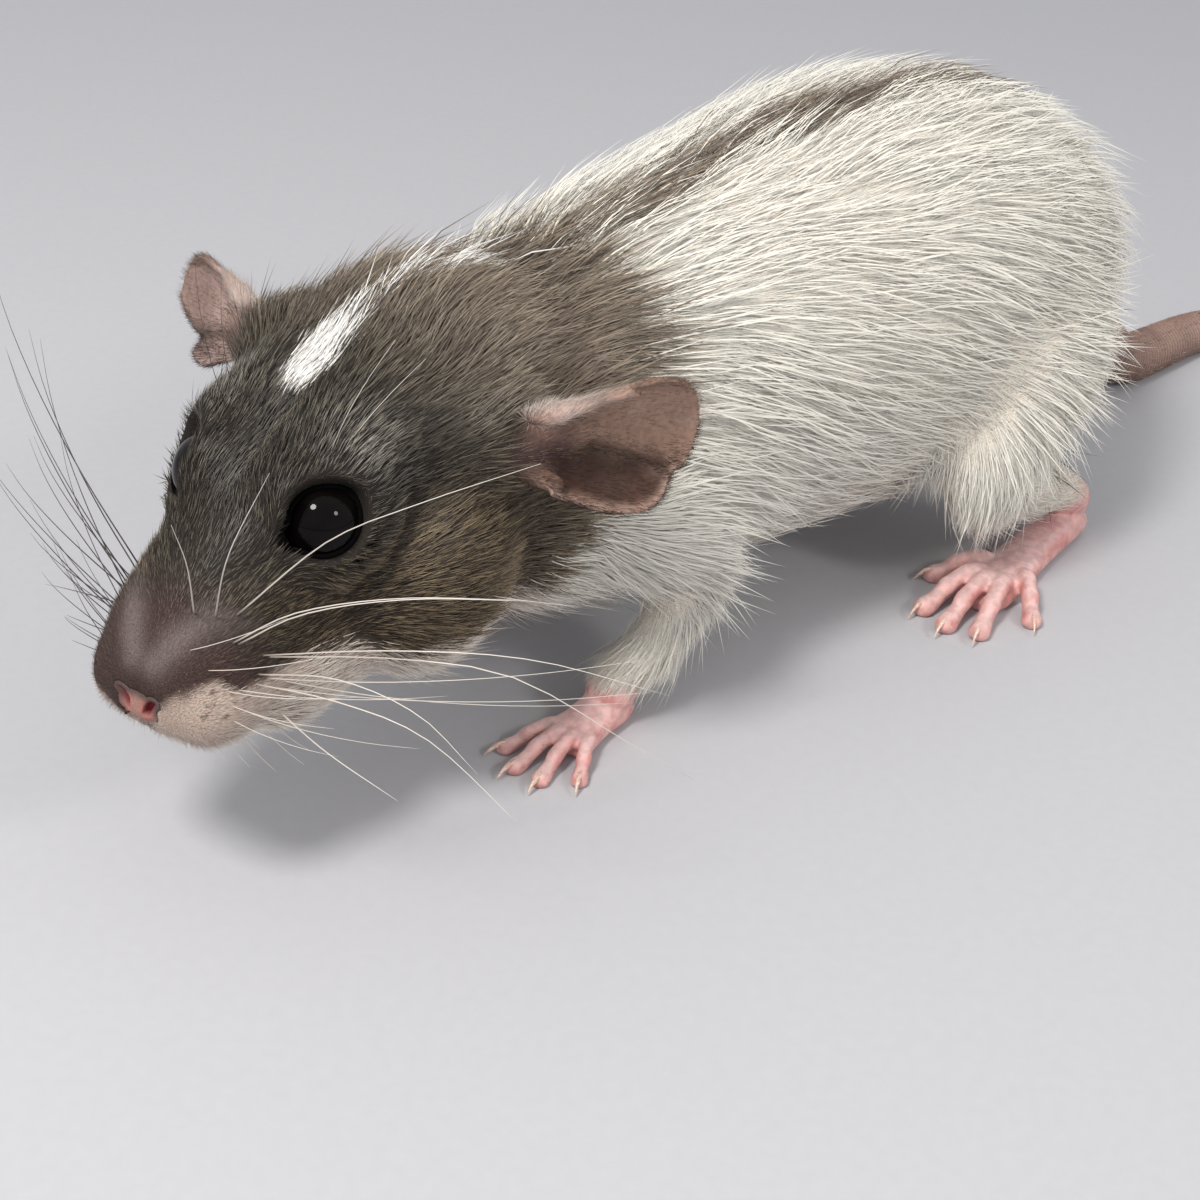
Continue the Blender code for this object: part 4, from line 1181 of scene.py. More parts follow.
@dataclass
class Nose:
    """The small pink pad with its comma-shaped nostrils."""

    BALL = (128, 96)  # steps round and along the ball that it is made from

    face: Face
    finish: MoistFinish = MoistFinish("nose_skin", 0.6, 0.22, 0.0, 0.2, gloss=0.3)
    fur: str = "#54433f"
    pad: str = "#94685f"
    middle: str = "#987c6f"
    rim: str = "#ab7069"
    # the nostrils' own red, darkened by painted shade; also laid thinly along the cleft between them as
    # painted shade
    pit: str = "#7e2630"
    pit_depth: float = 0.8
    lip: float = 0.05  # how much higher the nostrils' edges stand
    cleft: float = 0.3  # depth of the line between them
    hidden: tuple = (0.45, 1.6)  # depth of the furred part under the skin: next to the naked one, and farther
    proud: float = 0.07  # height of the naked part over it

    def build(self, tree: BVHTree) -> bpy.types.Object:
        """The pad, which stands for its solid.

        Args:
            tree: the skin in the head's frame, before it is pressed in under the pad.

        Returns:
            The pad, which follows that skin and runs under it where it is furred.
        """
        bm = bmesh.new()
        around, forward = self.BALL
        facing = Matrix.Rotation(math.pi / 2, 4, "Y")
        bmesh.ops.create_uvsphere(bm, u_segments=around, v_segments=forward, radius=1.0, matrix=facing)
        made = link("nose_pad", mesh_of(bm, "nose_pad"), self.finish.material())
        shape = Shape(made)
        out = unit(shape.points)
        inside = np.array(self.face.nose_inside)
        front = ease(0.2, 0.4, out[:, 0])
        hits = [tree.ray_cast(Vector(inside + way * 40), Vector(-way))[0] for way in out]
        far = np.array([(hit - Vector(inside)).length if hit else 1.0 for hit in hits])
        shape.points = inside + out * between(0.8, far, front)[:, None]
        shape.soften(4, front * 0.5)
        off = shape.points - self.face.nose_centre
        gap = self.face.nostril_gap(off)
        pit = ease(0.14, -0.14, gap) * front
        lip = bell(gap - 0.3, 0.25) * front
        cleft = bell(off[:, 1], 0.2) * ease(-0.2, -0.9, off[:, 2]) * front
        naked = self.face.naked_nose(shape.points)
        share = self.face.pad_share(off)
        deep = between(*self.hidden, ease(1.15, 1.6, share))
        lift = between(-deep, self.proud, ease(0.0, 0.55, naked))
        lift = lift + self.lip * lip * naked - self.cleft * cleft - self.pit_depth * pit
        shape.points = carry(self.face.layout.head_to_world, shape.points + out * (lift * front)[:, None])
        shape.write()
        colour = blend(linear(self.pad), linear(self.middle), bell(off[:, 1], 0.5) * 0.7)
        colour = blend(colour, linear(self.rim), np.maximum(lip * 0.7, ease(-0.5, -1.2, off[:, 2]) * 0.8))
        colour = blend(colour, linear(self.fur), ease(0.45, 1.0, share) * ease(-0.6, 0.9, off[:, 2]))
        colour = blend(colour, linear(self.fur), 1 - ease(0.35, 0.7, naked))
        # painted shade in the nostrils and the cleft, over the nostrils' own red
        colour = blend(colour, linear(self.pit), np.clip(pit * 1.3 + cleft * 0.3, 0, 1))
        paint(made.data, colour)
        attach(made, BODY)
        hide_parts("nose")
        return made


@dataclass(frozen=True)
class FootPlan:
    """One pair of feet: where the ankle stands, the sole, and the toes from the inner to the outer side."""

    ankle: tuple
    sole: float
    heel: float
    ball: float
    height: float
    turn: float
    toes: tuple  # place along the sole, place across it, heading in degrees, length, radius


FORE_FOOT = FootPlan(
    (28.5, 14.6),
    7.5,
    2.6,
    3.3,
    4.4,
    8.0,
    (
        (7.2, -2.4, -24.0, 6.4, 0.95),
        (8.0, -0.8, -7.0, 7.6, 1.0),
        (8.0, 0.9, 8.0, 7.6, 1.0),
        (7.0, 2.5, 27.0, 6.2, 0.95),
    ),
)
HIND_FOOT = FootPlan(
    (-53.5, 22.8),
    24.0,
    2.9,
    3.9,
    4.6,
    9.0,
    (
        (19.5, -3.6, -40.0, 6.8, 1.25),
        (24.0, -2.6, -12.0, 10.0, 1.3),
        (25.0, -0.4, 0.0, 10.8, 1.3),
        (24.4, 2.0, 10.0, 10.2, 1.3),
        (20.5, 3.7, 33.0, 7.6, 1.25),
    ),
)


@dataclass
class Foot:
    """One foot: its forms, which the skin takes in, and its claws."""

    layout: Layout
    plan: FootPlan
    side: Side
    step: float
    word: str
    sole_profile: tuple = (
        (-3.2, 0.0, 0.55, 0.45),
        (-1.6, 0.0, 0.95, 0.86),
        (0.0, 0.15, 1.0, 1.0),
        (0.0, 0.5, 0.93, 0.90),
        (0.0, 0.85, 1.0, 0.78),
        (0.0, 1.05, 0.92, 0.56),
        (0.0, 1.15, 0.60, 0.36),
    )
    # place as a share of the toe's length, lift and thickness in toe radii
    toe_profile: tuple = (
        (-0.25, 1.0, 0.95),
        (-0.05, 1.45, 1.02),
        (0.12, 1.55, 0.98),
        (0.34, 1.4, 0.88),
        (0.48, 1.1, 0.98),
        (0.62, 0.5, 0.84),
        (0.80, 0.0, 1.0),
        (0.9, 0.0, 1.02),
        (0.99, 0.0, 0.78),
        (1.04, 0.05, 0.3),
    )
    sole_flat: float = 0.25
    claw_length: float = 2.0
    claw_radius: float = 0.37
    claw_profile: tuple = ((-0.35, 1.0), (0.0, 1.0), (0.35, 0.82), (0.7, 0.5), (1.0, 0.12))
    claw_root: float = 1.35
    claw_tip: float = 0.35
    finish: HornFinish = HornFinish()

    def axes(self) -> tuple[Array, Array, Array, float]:
        """The ankle on the floor, the ways ahead and outward to the left, and the turn."""
        turn = math.radians(self.plan.turn) * self.side.value
        ankle = np.array((self.plan.ankle[0] + self.step, self.plan.ankle[1] * self.side.value, 0.0))
        ahead = np.array((math.cos(turn), math.sin(turn), 0.0))
        return ankle, ahead, np.array((-ahead[1], ahead[0], 0.0)), turn

    def toes(self) -> Iterable[tuple[Array, Array, float, float]]:
        """Each toe's start on the floor, its direction, length and radius."""
        ankle, ahead, left, turn = self.axes()
        for along, across, heading, length, radius in self.plan.toes:
            angle = turn + math.radians(heading) * self.side.value
            start = ankle + ahead * along + left * (across * self.side.value)
            yield start, np.array((math.cos(angle), math.sin(angle), 0.0)), length, radius

    def add_forms(self, bm: bmesh.types.BMesh, limb: Limb) -> None:
        """Adds sole, toes and the end of the limb as closed forms, in the rat's frame."""
        ankle, ahead, _, _ = self.axes()
        rows = []
        for start, share, wide, tall in self.sole_profile:
            half_width = (self.plan.heel + (self.plan.ball - self.plan.heel) * min(share, 1.0)) * wide
            half_height = self.plan.height * tall / 2
            x, y, _ = ankle + ahead * (start + self.plan.sole * share)
            rows.append((x, y, half_height - self.sole_flat, half_width, half_height, half_height))
        loft(bm, spline(rows, 4), (0, 0, 1), 20, 2.3)
        for start, direction, length, radius in self.toes():
            rows = []
            for share, lift, thick in self.toe_profile:
                point = start + direction * (length * share)
                size = radius * thick
                rows.append((point[0], point[1], radius * (1 + lift) - self.sole_flat, size, size, size))
            loft(bm, spline(rows, 3), (0, 0, 1), 14)
            pad = start + direction * (length * 0.9) + np.array((0, 0, radius * 0.8 - self.sole_flat))
            ellipsoid(bm, pad, (radius * 1.12, radius * 1.12, radius * 0.8), (14, 10))
        loft(bm, limb.line()[-13:], (1, 0, 0), 20)

    def claws(self) -> bpy.types.Object:
        """The claws of this foot as one piece."""
        bm = bmesh.new()
        for start, direction, length, radius in self.toes():
            rows = []
            for share, thick in spline(self.claw_profile, 3):
                point = start + direction * (length + self.claw_length * share)
                top = radius * self.claw_root
                height = top + (self.claw_tip - top) * max(share, 0) ** 1.8
                size = self.claw_radius * thick
                rows.append((point[0], point[1], height, size * 0.8, size, size))
            loft(bm, np.array(rows), (0, 0, 1), 9)
        face_outward(bm)
        bm.transform(self.layout.to_world)
        made = link(f"claws_{self.word}_{self.side.word}", mesh_of(bm, "claws"), self.finish.material())
        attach(made, BODY)
        return made


def feet_of(layout: Layout) -> list[Foot]:
    """The four feet, in the order of the limbs."""
    return [
        Foot(layout, FORE_FOOT, Side.LEFT, 0.0, "front"),
        Foot(layout, FORE_FOOT, Side.RIGHT, -FORE_STEP, "front"),
        Foot(layout, HIND_FOOT, Side.LEFT, 0.0, "hind"),
        Foot(layout, HIND_FOOT, Side.RIGHT, HIND_STEP, "hind"),
    ]


@dataclass
class Skin:
    """One skin over head, neck, trunk, legs and feet, inside the solids by the coat's depth."""

    layout: Layout
    face: Face
    limbs: list[Limb]
    feet: list[Foot]
    markings: Markings
    voxel: float = 0.3
    swell: float = 0.25  # closes the gaps between the solids
    triangles: int = 190_000
    finish: SkinFinish = SkinFinish()
    # the coat's depth by distance from the nose
    depths: tuple = ((0, 8, 20, 32, 46, 60), (0.1, 0.2, 0.4, 0.6, 1.1, 1.6))
    # middle, height and reach of bulges on both sides: whisker pad, brow, temple
    swells: tuple = (
        ((-6.0, 6.0, 2.2), 0.5, 3.6),
        ((-17.3, 4.6, 13.4), 1.75, 3.2),
        ((-26.0, 7.5, 16.0), 2.4, 6.0),
    )
    groove: tuple = ((-2.0, 1.0, 5.6), (-6.5, 3.4, 9.3), (-11.0, 6.2, 10.0))
    groove_sink: tuple = (0.35, 1.5)  # depth and reach of the hollow above the pad
    hollow: float = 1.6  # depth of the ear's opening
    round_end: tuple = ((-0.8, 0.0, -4.4), 3.0)  # middle and reach of the rounding under the nose
    round_passes: int = 24
    mouth_depth: float = 0.75
    mouth_width: float = 0.34
    lid_slope: tuple = (0.3, 4.5)  # fall of the skin away from the lids' edge, and how far out it is drawn up
    nose_seat: float = 1.5
    nose_tree: BVHTree | None = None  # the skin before it is pressed in under the nose pad

    def build(self, nodes: dict[str, bpy.types.Object]) -> bpy.types.Object:
        """Makes and paints the skin.

        Args:
            nodes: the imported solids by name.

        Returns:
            The skin, which stands for every solid of flesh.
        """
        obj = link("rat_skin", self.soup(nodes))
        fused(obj, self.voxel)
        shape = Shape(obj)
        self.soften(shape)
        self.sink(shape)
        self.open_eyes(shape)
        self.open_mouth(shape)
        self.seat_nose(shape)
        shape.points[:, 2] = np.maximum(shape.points[:, 2], 0.00002)
        shape.write()
        self.thin(obj)
        self.dress(obj)
        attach(obj, BODY)
        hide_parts(*FLESH_NODES, *FOOT_NODES)
        return obj

    def soup(self, nodes: dict[str, bpy.types.Object]) -> bpy.types.Mesh:
        """All closed forms together, not yet one surface."""
        bm = bmesh.new()
        for name in FLESH_NODES:
            part = bmesh.new()
            part.from_mesh(nodes[name].data)
            bmesh.ops.remove_doubles(part, verts=part.verts, dist=0.001 * MM)
            part.normal_update()
            moved = [(vert, vert.co + vert.normal * (self.swell * MM)) for vert in part.verts]
            for vert, place in moved:
                vert.co = place
            add(bm, part)
        feet = bmesh.new()
        for foot, limb in zip(self.feet, self.limbs):
            foot.add_forms(feet, limb)
        face_outward(feet)
        feet.transform(self.layout.to_world)
        head = bmesh.new()
        for side in Side:
            ellipsoid(head, self.face.eye(side), [self.face.lid_cover] * 3)
        centre, radii = np.array(self.face.nose_centre), np.array(self.face.nose_radii)
        ellipsoid(head, centre, radii - 0.25)
        ellipsoid(head, centre + (-0.45, 0, 0.5), radii - 0.15)
        head.transform(self.layout.head_to_world)
        for part in (feet, head):
            add(bm, part)
        return mesh_of(bm, "rat_skin")

    def bareness(self, at: Places) -> Array:
        """1 on the bare feet, 0 from a little above the ankles."""
        return ease(0.2, 0.8, at.foot + 0.25 * self.markings.noise.at(at.body, 1.5))

    def soften(self, shape: Shape) -> None:
        """Smooths the body strongly and the feet and nose only a little."""
        head, body = self.layout.in_head(shape.points), self.layout.in_body(shape.points)
        low = ease(7.5, 10.0, body[:, 2])
        tip = ease(1.5, 5.0, -head[:, 0])
        passes = round(40 * (0.3 / self.voxel) ** 2)
        shape.soften(passes, 0.5 * low * tip)
        shape.soften(4, np.full(len(low), 0.35))

    def sink(self, shape: Shape) -> None:
        """Pushes the skin in by the coat's depth."""
        normals = shape.normals()
        at = Places.of(self.face, self.limbs, shape.points, normals)
        depth = np.interp(-at.head[:, 0], *self.depths)
        depth = between(depth, np.interp(at.along, (0.3, 0.75, 0.95), (1.4, 0.4, 0.0)), at.limb)
        depth = depth + self.swell * ease(8.0, 11.0, at.body[:, 2])
        depth = depth * ease(6.0, 10.0, at.body[:, 2])
        for side in Side:
            far = np.linalg.norm(at.head - self.face.eye(side), axis=1)
            depth = depth * ease(4.6, 7.5, far)
        folded = mirrored(at.head)
        for middle, high, reach in self.swells:
            depth = depth - high * bell(np.linalg.norm(folded - middle, axis=1), reach) * (1 - at.behind)
        deep, reach = self.groove_sink
        depth = depth + deep * bell(distance_to(folded, spline(self.groove, 4)), reach) * (1 - at.behind)
        depth = depth + self.hollow * bell(self.face.in_concha(at.head), 0.8)
        shape.points -= normals * (depth * MM)[:, None]

    def open_eyes(self, shape: Shape) -> None:
        """Draws the skin up round each eye to the lids' edge, and sinks it behind the eyeball inside that."""
        head = self.layout.in_head(shape.points)
        slope, reach = self.lid_slope
        for side in Side:
            centre, out = self.face.eye(side), self.face.eye_frame(side)[2]
            rho, bearing, height = self.face.round_eye(side, head)
            edge = self.face.lid_edge(bearing)
            gap = np.maximum(rho - edge, 0)
            far = np.linalg.norm(head - centre, axis=1)
            over = (height > -1.5) & (far < 11)
            inside = over & (rho < edge + 0.1)
            rise = self.face.lid_height(edge) - slope * gap - height
            rise = rise * np.where(rise > 0, ease(reach, 0.4 * reach, gap), ease(1.2, 0.3, gap))
            around = over & ~inside
            head[inside] = centre + unit(head[inside] - centre) * 3.0
            head[around] += out * rise[around, None]
        shape.points = carry(self.layout.head_to_world, head)

    def open_mouth(self, shape: Shape) -> None:
        """Rounds the muzzle's end under the nose and presses in the mouth's line and the cleft above it."""
        middle, reach = self.round_end
        far = np.linalg.norm(self.layout.in_head(shape.points) - middle, axis=1)
        shape.soften(self.round_passes, 0.5 * ease(reach, 0.5 * reach, far))
        shape.write()
        tree = self.head_tree(shape.obj)
        head = self.layout.in_head(shape.points)
        near = np.flatnonzero((head[:, 0] > -24) & (head[:, 2] < 0))
        normals = shape.normals()[near]
        push = np.zeros(len(near))
        for line, share in ((self.face.mouth(tree), 1.0), (self.face.philtrum(tree), 0.25)):
            push = np.maximum(push, share * bell(distance_to(head[near], line), self.mouth_width))
        shape.points[near] -= normals * (push * self.mouth_depth * MM)[:, None]

    def seat_nose(self, shape: Shape) -> None:
        """Presses the skin in under the nose pad's naked part, and keeps it as it was for the pad."""
        shape.write()
        self.nose_tree = self.head_tree(shape.obj)
        head = self.layout.in_head(shape.points)
        under = ease(0.55, 0.8, self.face.naked_nose(head)) * ease(-4.5, -3.5, head[:, 0])
        head = head - unit(head - self.face.nose_inside) * (self.nose_seat * under)[:, None]
        shape.points = carry(self.layout.head_to_world, head)

    def head_tree(self, obj: bpy.types.Object) -> BVHTree:
        """The skin in the head's frame, for rays."""
        bm = bmesh.new()
        bm.from_mesh(obj.data)
        bm.transform(self.layout.head_to_world.inverted())
        tree = BVHTree.FromBMesh(bm)
        bm.free()
        return tree

    def thin(self, obj: bpy.types.Object) -> None:
        """Fewer triangles, mostly off the body, which the coat covers."""
        shape = Shape(obj)
        head, body = self.layout.in_head(shape.points), self.layout.in_body(shape.points)
        fine = np.maximum(ease(30.0, 24.0, -head[:, 0]), ease(9.0, 7.0, body[:, 2]))
        group = obj.vertex_groups.new(name="covered")
        covered = np.flatnonzero(fine < 0.5)
        group.add([int(i) for i in covered], 1.0, "REPLACE")
        total, rest = 2 * len(fine), 2 * len(covered)
        keep = max(self.triangles - (total - rest), 0.25 * rest)
        for name, ratio in (("covered", (total - rest + keep) / total), ("", None)):
            if ratio is None:
                now = sum(len(face.vertices) - 2 for face in obj.data.polygons)
                ratio = self.triangles / now
            if ratio < 1:
                fewer = obj.modifiers.new("fewer", "DECIMATE")
                fewer.ratio = ratio
                if name:
                    fewer.vertex_group = name
                    fewer.vertex_group_factor = 1000.0
                apply_all(obj)
        obj.vertex_groups.clear()

    def dress(self, obj: bpy.types.Object) -> None:
        """Paints the skin and gives it its finish."""
        shape = Shape(obj)
        at = Places.of(self.face, self.limbs, shape.points, shape.normals())
        bare = self.bareness(at)
        colour = self.markings.skin(at, bare)
        tree = self.head_tree(obj)
        near = np.flatnonzero((at.head[:, 0] > -24) & (at.head[:, 2] < 0))
        line = distance_to(at.head[near], self.face.mouth(tree))
        p = self.markings.palette
        # painted shade along the crease of the mouth
        colour[near] = blend(colour[near], linear(p.mouth_line), bell(line, 0.4) * 0.9)
        cleft = distance_to(at.head[near], self.face.philtrum(tree))
        # the cleft's pinkish skin with painted shade
        colour[near] = blend(colour[near], linear(p.lip_cleft), bell(cleft, 0.35) * 0.7)
        colour = blend(colour, linear(p.lid_skin), ease(0.9, 0.3, at.lid) * 0.9)
        # painted shade in the opening of each ear
        colour = blend(colour, linear(p.ear_pit), ease(1.6, 0.9, self.face.in_concha(at.head)))
        paint(obj.data, colour)
        mark(obj.data, bare, BARE_LAYER)
        obj.data.materials.clear()
        obj.data.materials.append(self.finish.material())
        obj.data.shade_smooth()


@dataclass
class Lie:
    """How the coat grows: its length, width, lift, thickness and direction anywhere on the skin."""

    layout: Layout
    face: Face
    noise: Cloudiness = field(default_factory=lambda: Cloudiness(23))
    head_lengths: tuple = ((0, 5, 10, 16, 24, 32, 40, 48, 56), (0.7, 0.9, 1.4, 2.0, 2.8, 3.5, 4.3, 5.6, 7.2))
    body_length: float = 8.0
    belly_length: float = 6.0
    limb_lengths: tuple = ((0.2, 0.45, 0.62, 0.78, 0.95), (7.0, 5.0, 3.2, 1.9, 0.9))
    widths: tuple = (0.055, 0.012)  # of a tuft: at no length, and more for each millimetre of length
    # by length, per square millimetre
    crowding: tuple = ((0.8, 1.5, 3.0, 4.5, 5.5, 8.0), (24, 22, 18, 14, 12, 12.5))
    foot_hairs: float = 2.0  # per square millimetre

    def length(self, at: Places) -> Array:
        """Length of the coat, in millimetres."""
        head = np.interp(-at.head[:, 0], *self.head_lengths)
        under = ease(0.1, -0.7, at.normal[:, 2])
        body = between(self.body_length, self.belly_length, under)
        length = between(head, body, at.behind)
        length = between(length, np.interp(at.along, *self.limb_lengths), at.limb)
        lip = ease(-1.5, -4.0, at.head[:, 2]) * ease(15, 11, -at.head[:, 0])
        length = length * (1 + 0.7 * lip * (1 - at.behind))
        length = np.minimum(length, np.clip(0.75 + 1.1 * (at.lid - 0.3), 0.75, 9))
        return between(length, 0.9, at.foot)

    def width(self, length: Array) -> Array:
        """Width of a tuft of this length."""
        return self.widths[0] + self.widths[1] * length

    def density(self, at: Places, bare: Array, mouth: Array) -> Array:
        """Tufts for each square millimetre.

        Args:
            at: the places.
            bare: 1 where the skin is bare.
            mouth: distance from the line of the mouth.

        Returns:
            The density at each place.
        """
        dense = np.interp(self.length(at), *self.crowding)
        dense = between(dense, self.foot_hairs * ease(0.1, 0.6, at.normal[:, 2]), np.maximum(bare, at.foot))
        dense = dense * ease(0.25, 0.5, at.lid)
        dense = dense * ease(0.65, 0.45, self.face.naked_nose(at.head))
        dense = dense * ease(1.0, 1.5, self.face.in_concha(at.head))
        dense = dense * ease(0.15, 0.5, mouth)
        tail = at.body[:, 0] < -83.6
        return np.where(tail, 0.0, dense)

    def direction(self, at: Places) -> Array:
        """The way that the coat lies, along the skin."""
        back = np.tile(self.layout.head_direction((-1, 0, 0)), (len(at.world), 1))
        up = self.layout.head_direction((0, 0, 1))
        left = self.layout.head_direction((0, 1, 0))
        cheek = ease(6, 14, np.abs(at.head[:, 1])) * ease(8, 30, -at.head[:, 0])
        back = back - up * (0.28 * cheek * ease(8, -8, at.head[:, 2]))[:, None]
        beside = np.sign(at.head[:, 1]) * ease(2, 8, np.abs(at.head[:, 1]))
        back = back + left * (beside * ease(4, 30, -at.head[:, 0]) * 0.12)[:, None]
        for side in Side:
            off = at.head - self.face.eye(side)
            far = np.linalg.norm(off, axis=1)
            away = turn_rows(self.layout.head_to_world, unit(off)) / MM
            back = back + away * (0.9 * bell(far - 3.6, 3.6) * (at.head[:, 1] * side.value > 0))[:, None]
        flank = ease(0.25, 0.9, np.abs(at.normal[:, 1]))
        trunk = np.stack([-np.ones(len(flank)), at.normal[:, 1] * 0.1, -0.35 * flank], axis=1)
        chest = ease(40, 52, at.body[:, 0]) * ease(34, 22, at.body[:, 2])
        trunk = trunk - np.array((0, 0, 0.5)) * chest[:, None]
        lie = blend(back, trunk, at.behind)
        down = at.heading + np.array((-0.45, 0, 0)) * ease(0.7, 0.3, at.along)[:, None]
        lie = blend(lie, down, at.limb)
        waver = np.stack([self.noise.at(at.world / MM + k * 50, 6.0) for k in range(3)], axis=1)
        fine = np.stack([self.noise.at(at.world / MM + k * 90, 1.7) for k in range(3)], axis=1)
        lie = unit(lie) + waver * 0.22 + fine * 0.12
        lie = lie - at.normal * np.sum(lie * at.normal, axis=1)[:, None]
        return unit(lie)

    def lift(self, at: Places) -> Array:
        """Angle between a tuft's root and the skin, in degrees."""
        back = -at.head[:, 0]
        lift = np.interp(back, (0, 6, 14, 30, 46, 60, 80), (48, 34, 20, 20, 21, 14, 9))
        return lift + np.interp(back, (30, 60), (6, 2)) * self.noise.at(at.world / MM, 5.0)


@dataclass
class Coat:
    """The fur as closed tapered tufts, in pieces that the export can bake."""

    layout: Layout
    lie: Lie
    markings: Markings
    limbs: list[Limb]
    share: float = 1.0  # of the full number of tufts
    seed: int = 5
    short: float = 1.7  # up to this length, and behind the head, a tuft is a straight spike of four triangles
    bulge: float = 0.42  # where a longer one is widest and bends, as a share of its length
    soft: float = 0.85  # how far the shading follows the skin under the coat
    per_piece: int = 180_000  # triangles
    root_depth: float = 0.2
    dark: CoatFinish = CoatFinish("hood_hair", 0.5, 0.35)
    pale: CoatFinish = CoatFinish("pale_hair", 0.6, 0.25)

    def build(self, skin: bpy.types.Object, bare_name: str, mouth_line: Array) -> list[bpy.types.Object]:
        """Grows the coat on the skin.

        Args:
            skin: the finished skin.
            bare_name: its layer of bare patches.
            mouth_line: the line of the mouth in the head's frame.

        Returns:
            The pieces of the coat.
        """
        rng = np.random.default_rng(self.seed)
        mesh = skin.data
        mesh.calc_loop_triangles()
        corners = np.empty(len(mesh.loop_triangles) * 3, np.int32)
        mesh.loop_triangles.foreach_get("vertices", corners)
        corners = corners.reshape(-1, 3)
        shape = Shape(skin)
        normals = shape.normals()
        bare = np.empty(len(shape.points), np.float32)
        mesh.attributes[bare_name].data.foreach_get("value", bare)
        a, b, c = (shape.points[corners[:, k]] for k in range(3))
        area = np.linalg.norm(np.cross(b - a, c - a), axis=1) / 2 / MM**2
        middle = (a + b + c) / 3
        facing = unit(normals[corners].sum(axis=1))
        at = Places.of(self.lie.face, self.limbs, middle, facing)
        mouth = np.full(len(middle), 9.0)
        near = at.head[:, 0] > -26
        mouth[near] = distance_to(at.head[near], mouth_line)
        weight = area * self.lie.density(at, bare[corners].mean(axis=1), mouth) * self.share
        total = weight.cumsum()
        count = int(total[-1])
        picks = np.searchsorted(total, (np.arange(count) + rng.random(count)) / count * total[-1])
        picks = np.minimum(picks, len(corners) - 1)
        u, v = rng.random((2, count))
        flip = u + v > 1
        u[flip], v[flip] = 1 - u[flip], 1 - v[flip]
        root = a[picks] + (b - a)[picks] * u[:, None] + (c - a)[picks] * v[:, None]
        n = normals[corners[picks]]
        normal = unit(n[:, 0] * (1 - u - v)[:, None] + n[:, 1] * u[:, None] + n[:, 2] * v[:, None])
        at = Places.of(self.lie.face, self.limbs, root, normal)
        tufts = self.grow(at, rng)
        LOG.info("coat: %d tufts", count)
        return self.pieces(at, tufts)

    def grow(self, at: Places, rng: np.random.Generator) -> dict[str, Array]:
        """Lines and colours of the tufts."""
        count = len(at.world)
        dice = rng.random((count, 4))
        length = self.lie.length(at) * (0.72 + 0.5 * rng.random(count))
        guard = (rng.random(count) < 0.06) & (length > 2.5)
        length = np.where(guard, length * (1.3 + 0.4 * rng.random(count)), length)
        plain = (length < self.short) | ((at.behind > 0.6) & ~guard)
        width = self.lie.width(length) * (0.8 + 0.45 * rng.random(count)) * np.where(guard, 0.7, 1.0)
        lie = self.lie.direction(at)
        uneven = rng.normal(0, 1, count) * between(6.0, 2.5, at.behind)
        lift = np.radians(self.lie.lift(at) + uneven + guard * 8)
        droop = np.radians(np.interp(length, (1, 8), (4, 8)))
        across = np.cross(lie, at.normal)
        sway = rng.normal(0, 0.11, count)[:, None]
        ahead = unit(lie + across * sway)
        first = unit(ahead * np.cos(lift)[:, None] + at.normal * np.sin(lift)[:, None])
        low = lift - droop * 2
        second = unit(ahead * np.cos(low)[:, None] + at.normal * np.sin(low)[:, None])
        reach = (length * MM)[:, None]
        root = at.world - at.normal * self.root_depth * MM
        middle = root + first * reach * self.bulge
        tip = middle + second * reach * (1 - self.bulge)
        tip = self.gather(at, root, tip, length, rng)
        for line in (middle, tip):
            line[:, 2] = np.maximum(line[:, 2], 0.2 * MM)
        return {
            "root": root,
            "middle": middle,
            "tip": tip,
            "width": width * MM,
            "across": across,
            "normal": at.normal,
            "plain": plain,
            "colours": np.stack(self.markings.tufts(at, dice), axis=1),
        }

    def gather(self, at: Places, root: Array, tip: Array, length: Array, rng: np.random.Generator) -> Array:
        """Draws the tips of neighbouring tufts together into locks."""
        share = 1 / 16
        chosen = np.flatnonzero(rng.random(len(root)) < share)
        tree = KDTree(len(chosen))
        for i in chosen:
            tree.insert(root[i], int(i))
        tree.balance()
        mine = np.fromiter((tree.find(point)[1] for point in root), int, len(root))
        pull = np.interp(length, (1.0, 3.0, 8.0), (0.1, 0.3, 0.5)) * (0.4 + 0.6 * rng.random(len(root)))
        apart = root[mine] - root
        near = np.linalg.norm(apart, axis=1) < 3 * MM
        return tip + apart * (pull * near)[:, None]

    def region(self, at: Places) -> tuple[Array, list[str]]:
        """The part of the body that each tuft belongs to, and their names."""
        names = ["head", "neck", "trunk", *LEG_NODES]
        back = -at.head[:, 0]
        label = np.where(back < 46.5, 0, np.where(back < 62, 1, 2))
        on_limb = (at.limb > 0.6) & (at.along > 0.3)
        return np.where(on_limb, 3 + at.nearest, label), names

    def unwrap(self, label: int, at: Places, rows: Array) -> Array:
        """Places on an unwrap of the skin round its own axis, from 0 to 1 across the piece."""
        head, body = at.head[rows], at.body[rows]
        if label == 0:
            angle, run = np.arctan2(head[:, 1], head[:, 2] + 1.0), head[:, 0] * 1.2 + head[:, 2] * 0.2
        elif label < 3:
            angle, run = np.arctan2(body[:, 1], body[:, 2] - 33.0), body[:, 0]
        else:
            limb = self.limbs[label - 3].line()
            share = at.along[rows] * (len(limb) - 1)
            middle = np.stack([np.interp(share, np.arange(len(limb)), limb[:, k]) for k in range(3)], axis=1)
            off = body - middle
            angle, run = np.arctan2(off[:, 1], off[:, 0]), at.along[rows]
        flat = np.stack([angle, run], axis=1)
        low, high = flat.min(axis=0), flat.max(axis=0)
        return 0.01 + 0.98 * (flat - low) / np.maximum(high - low, 1e-9)

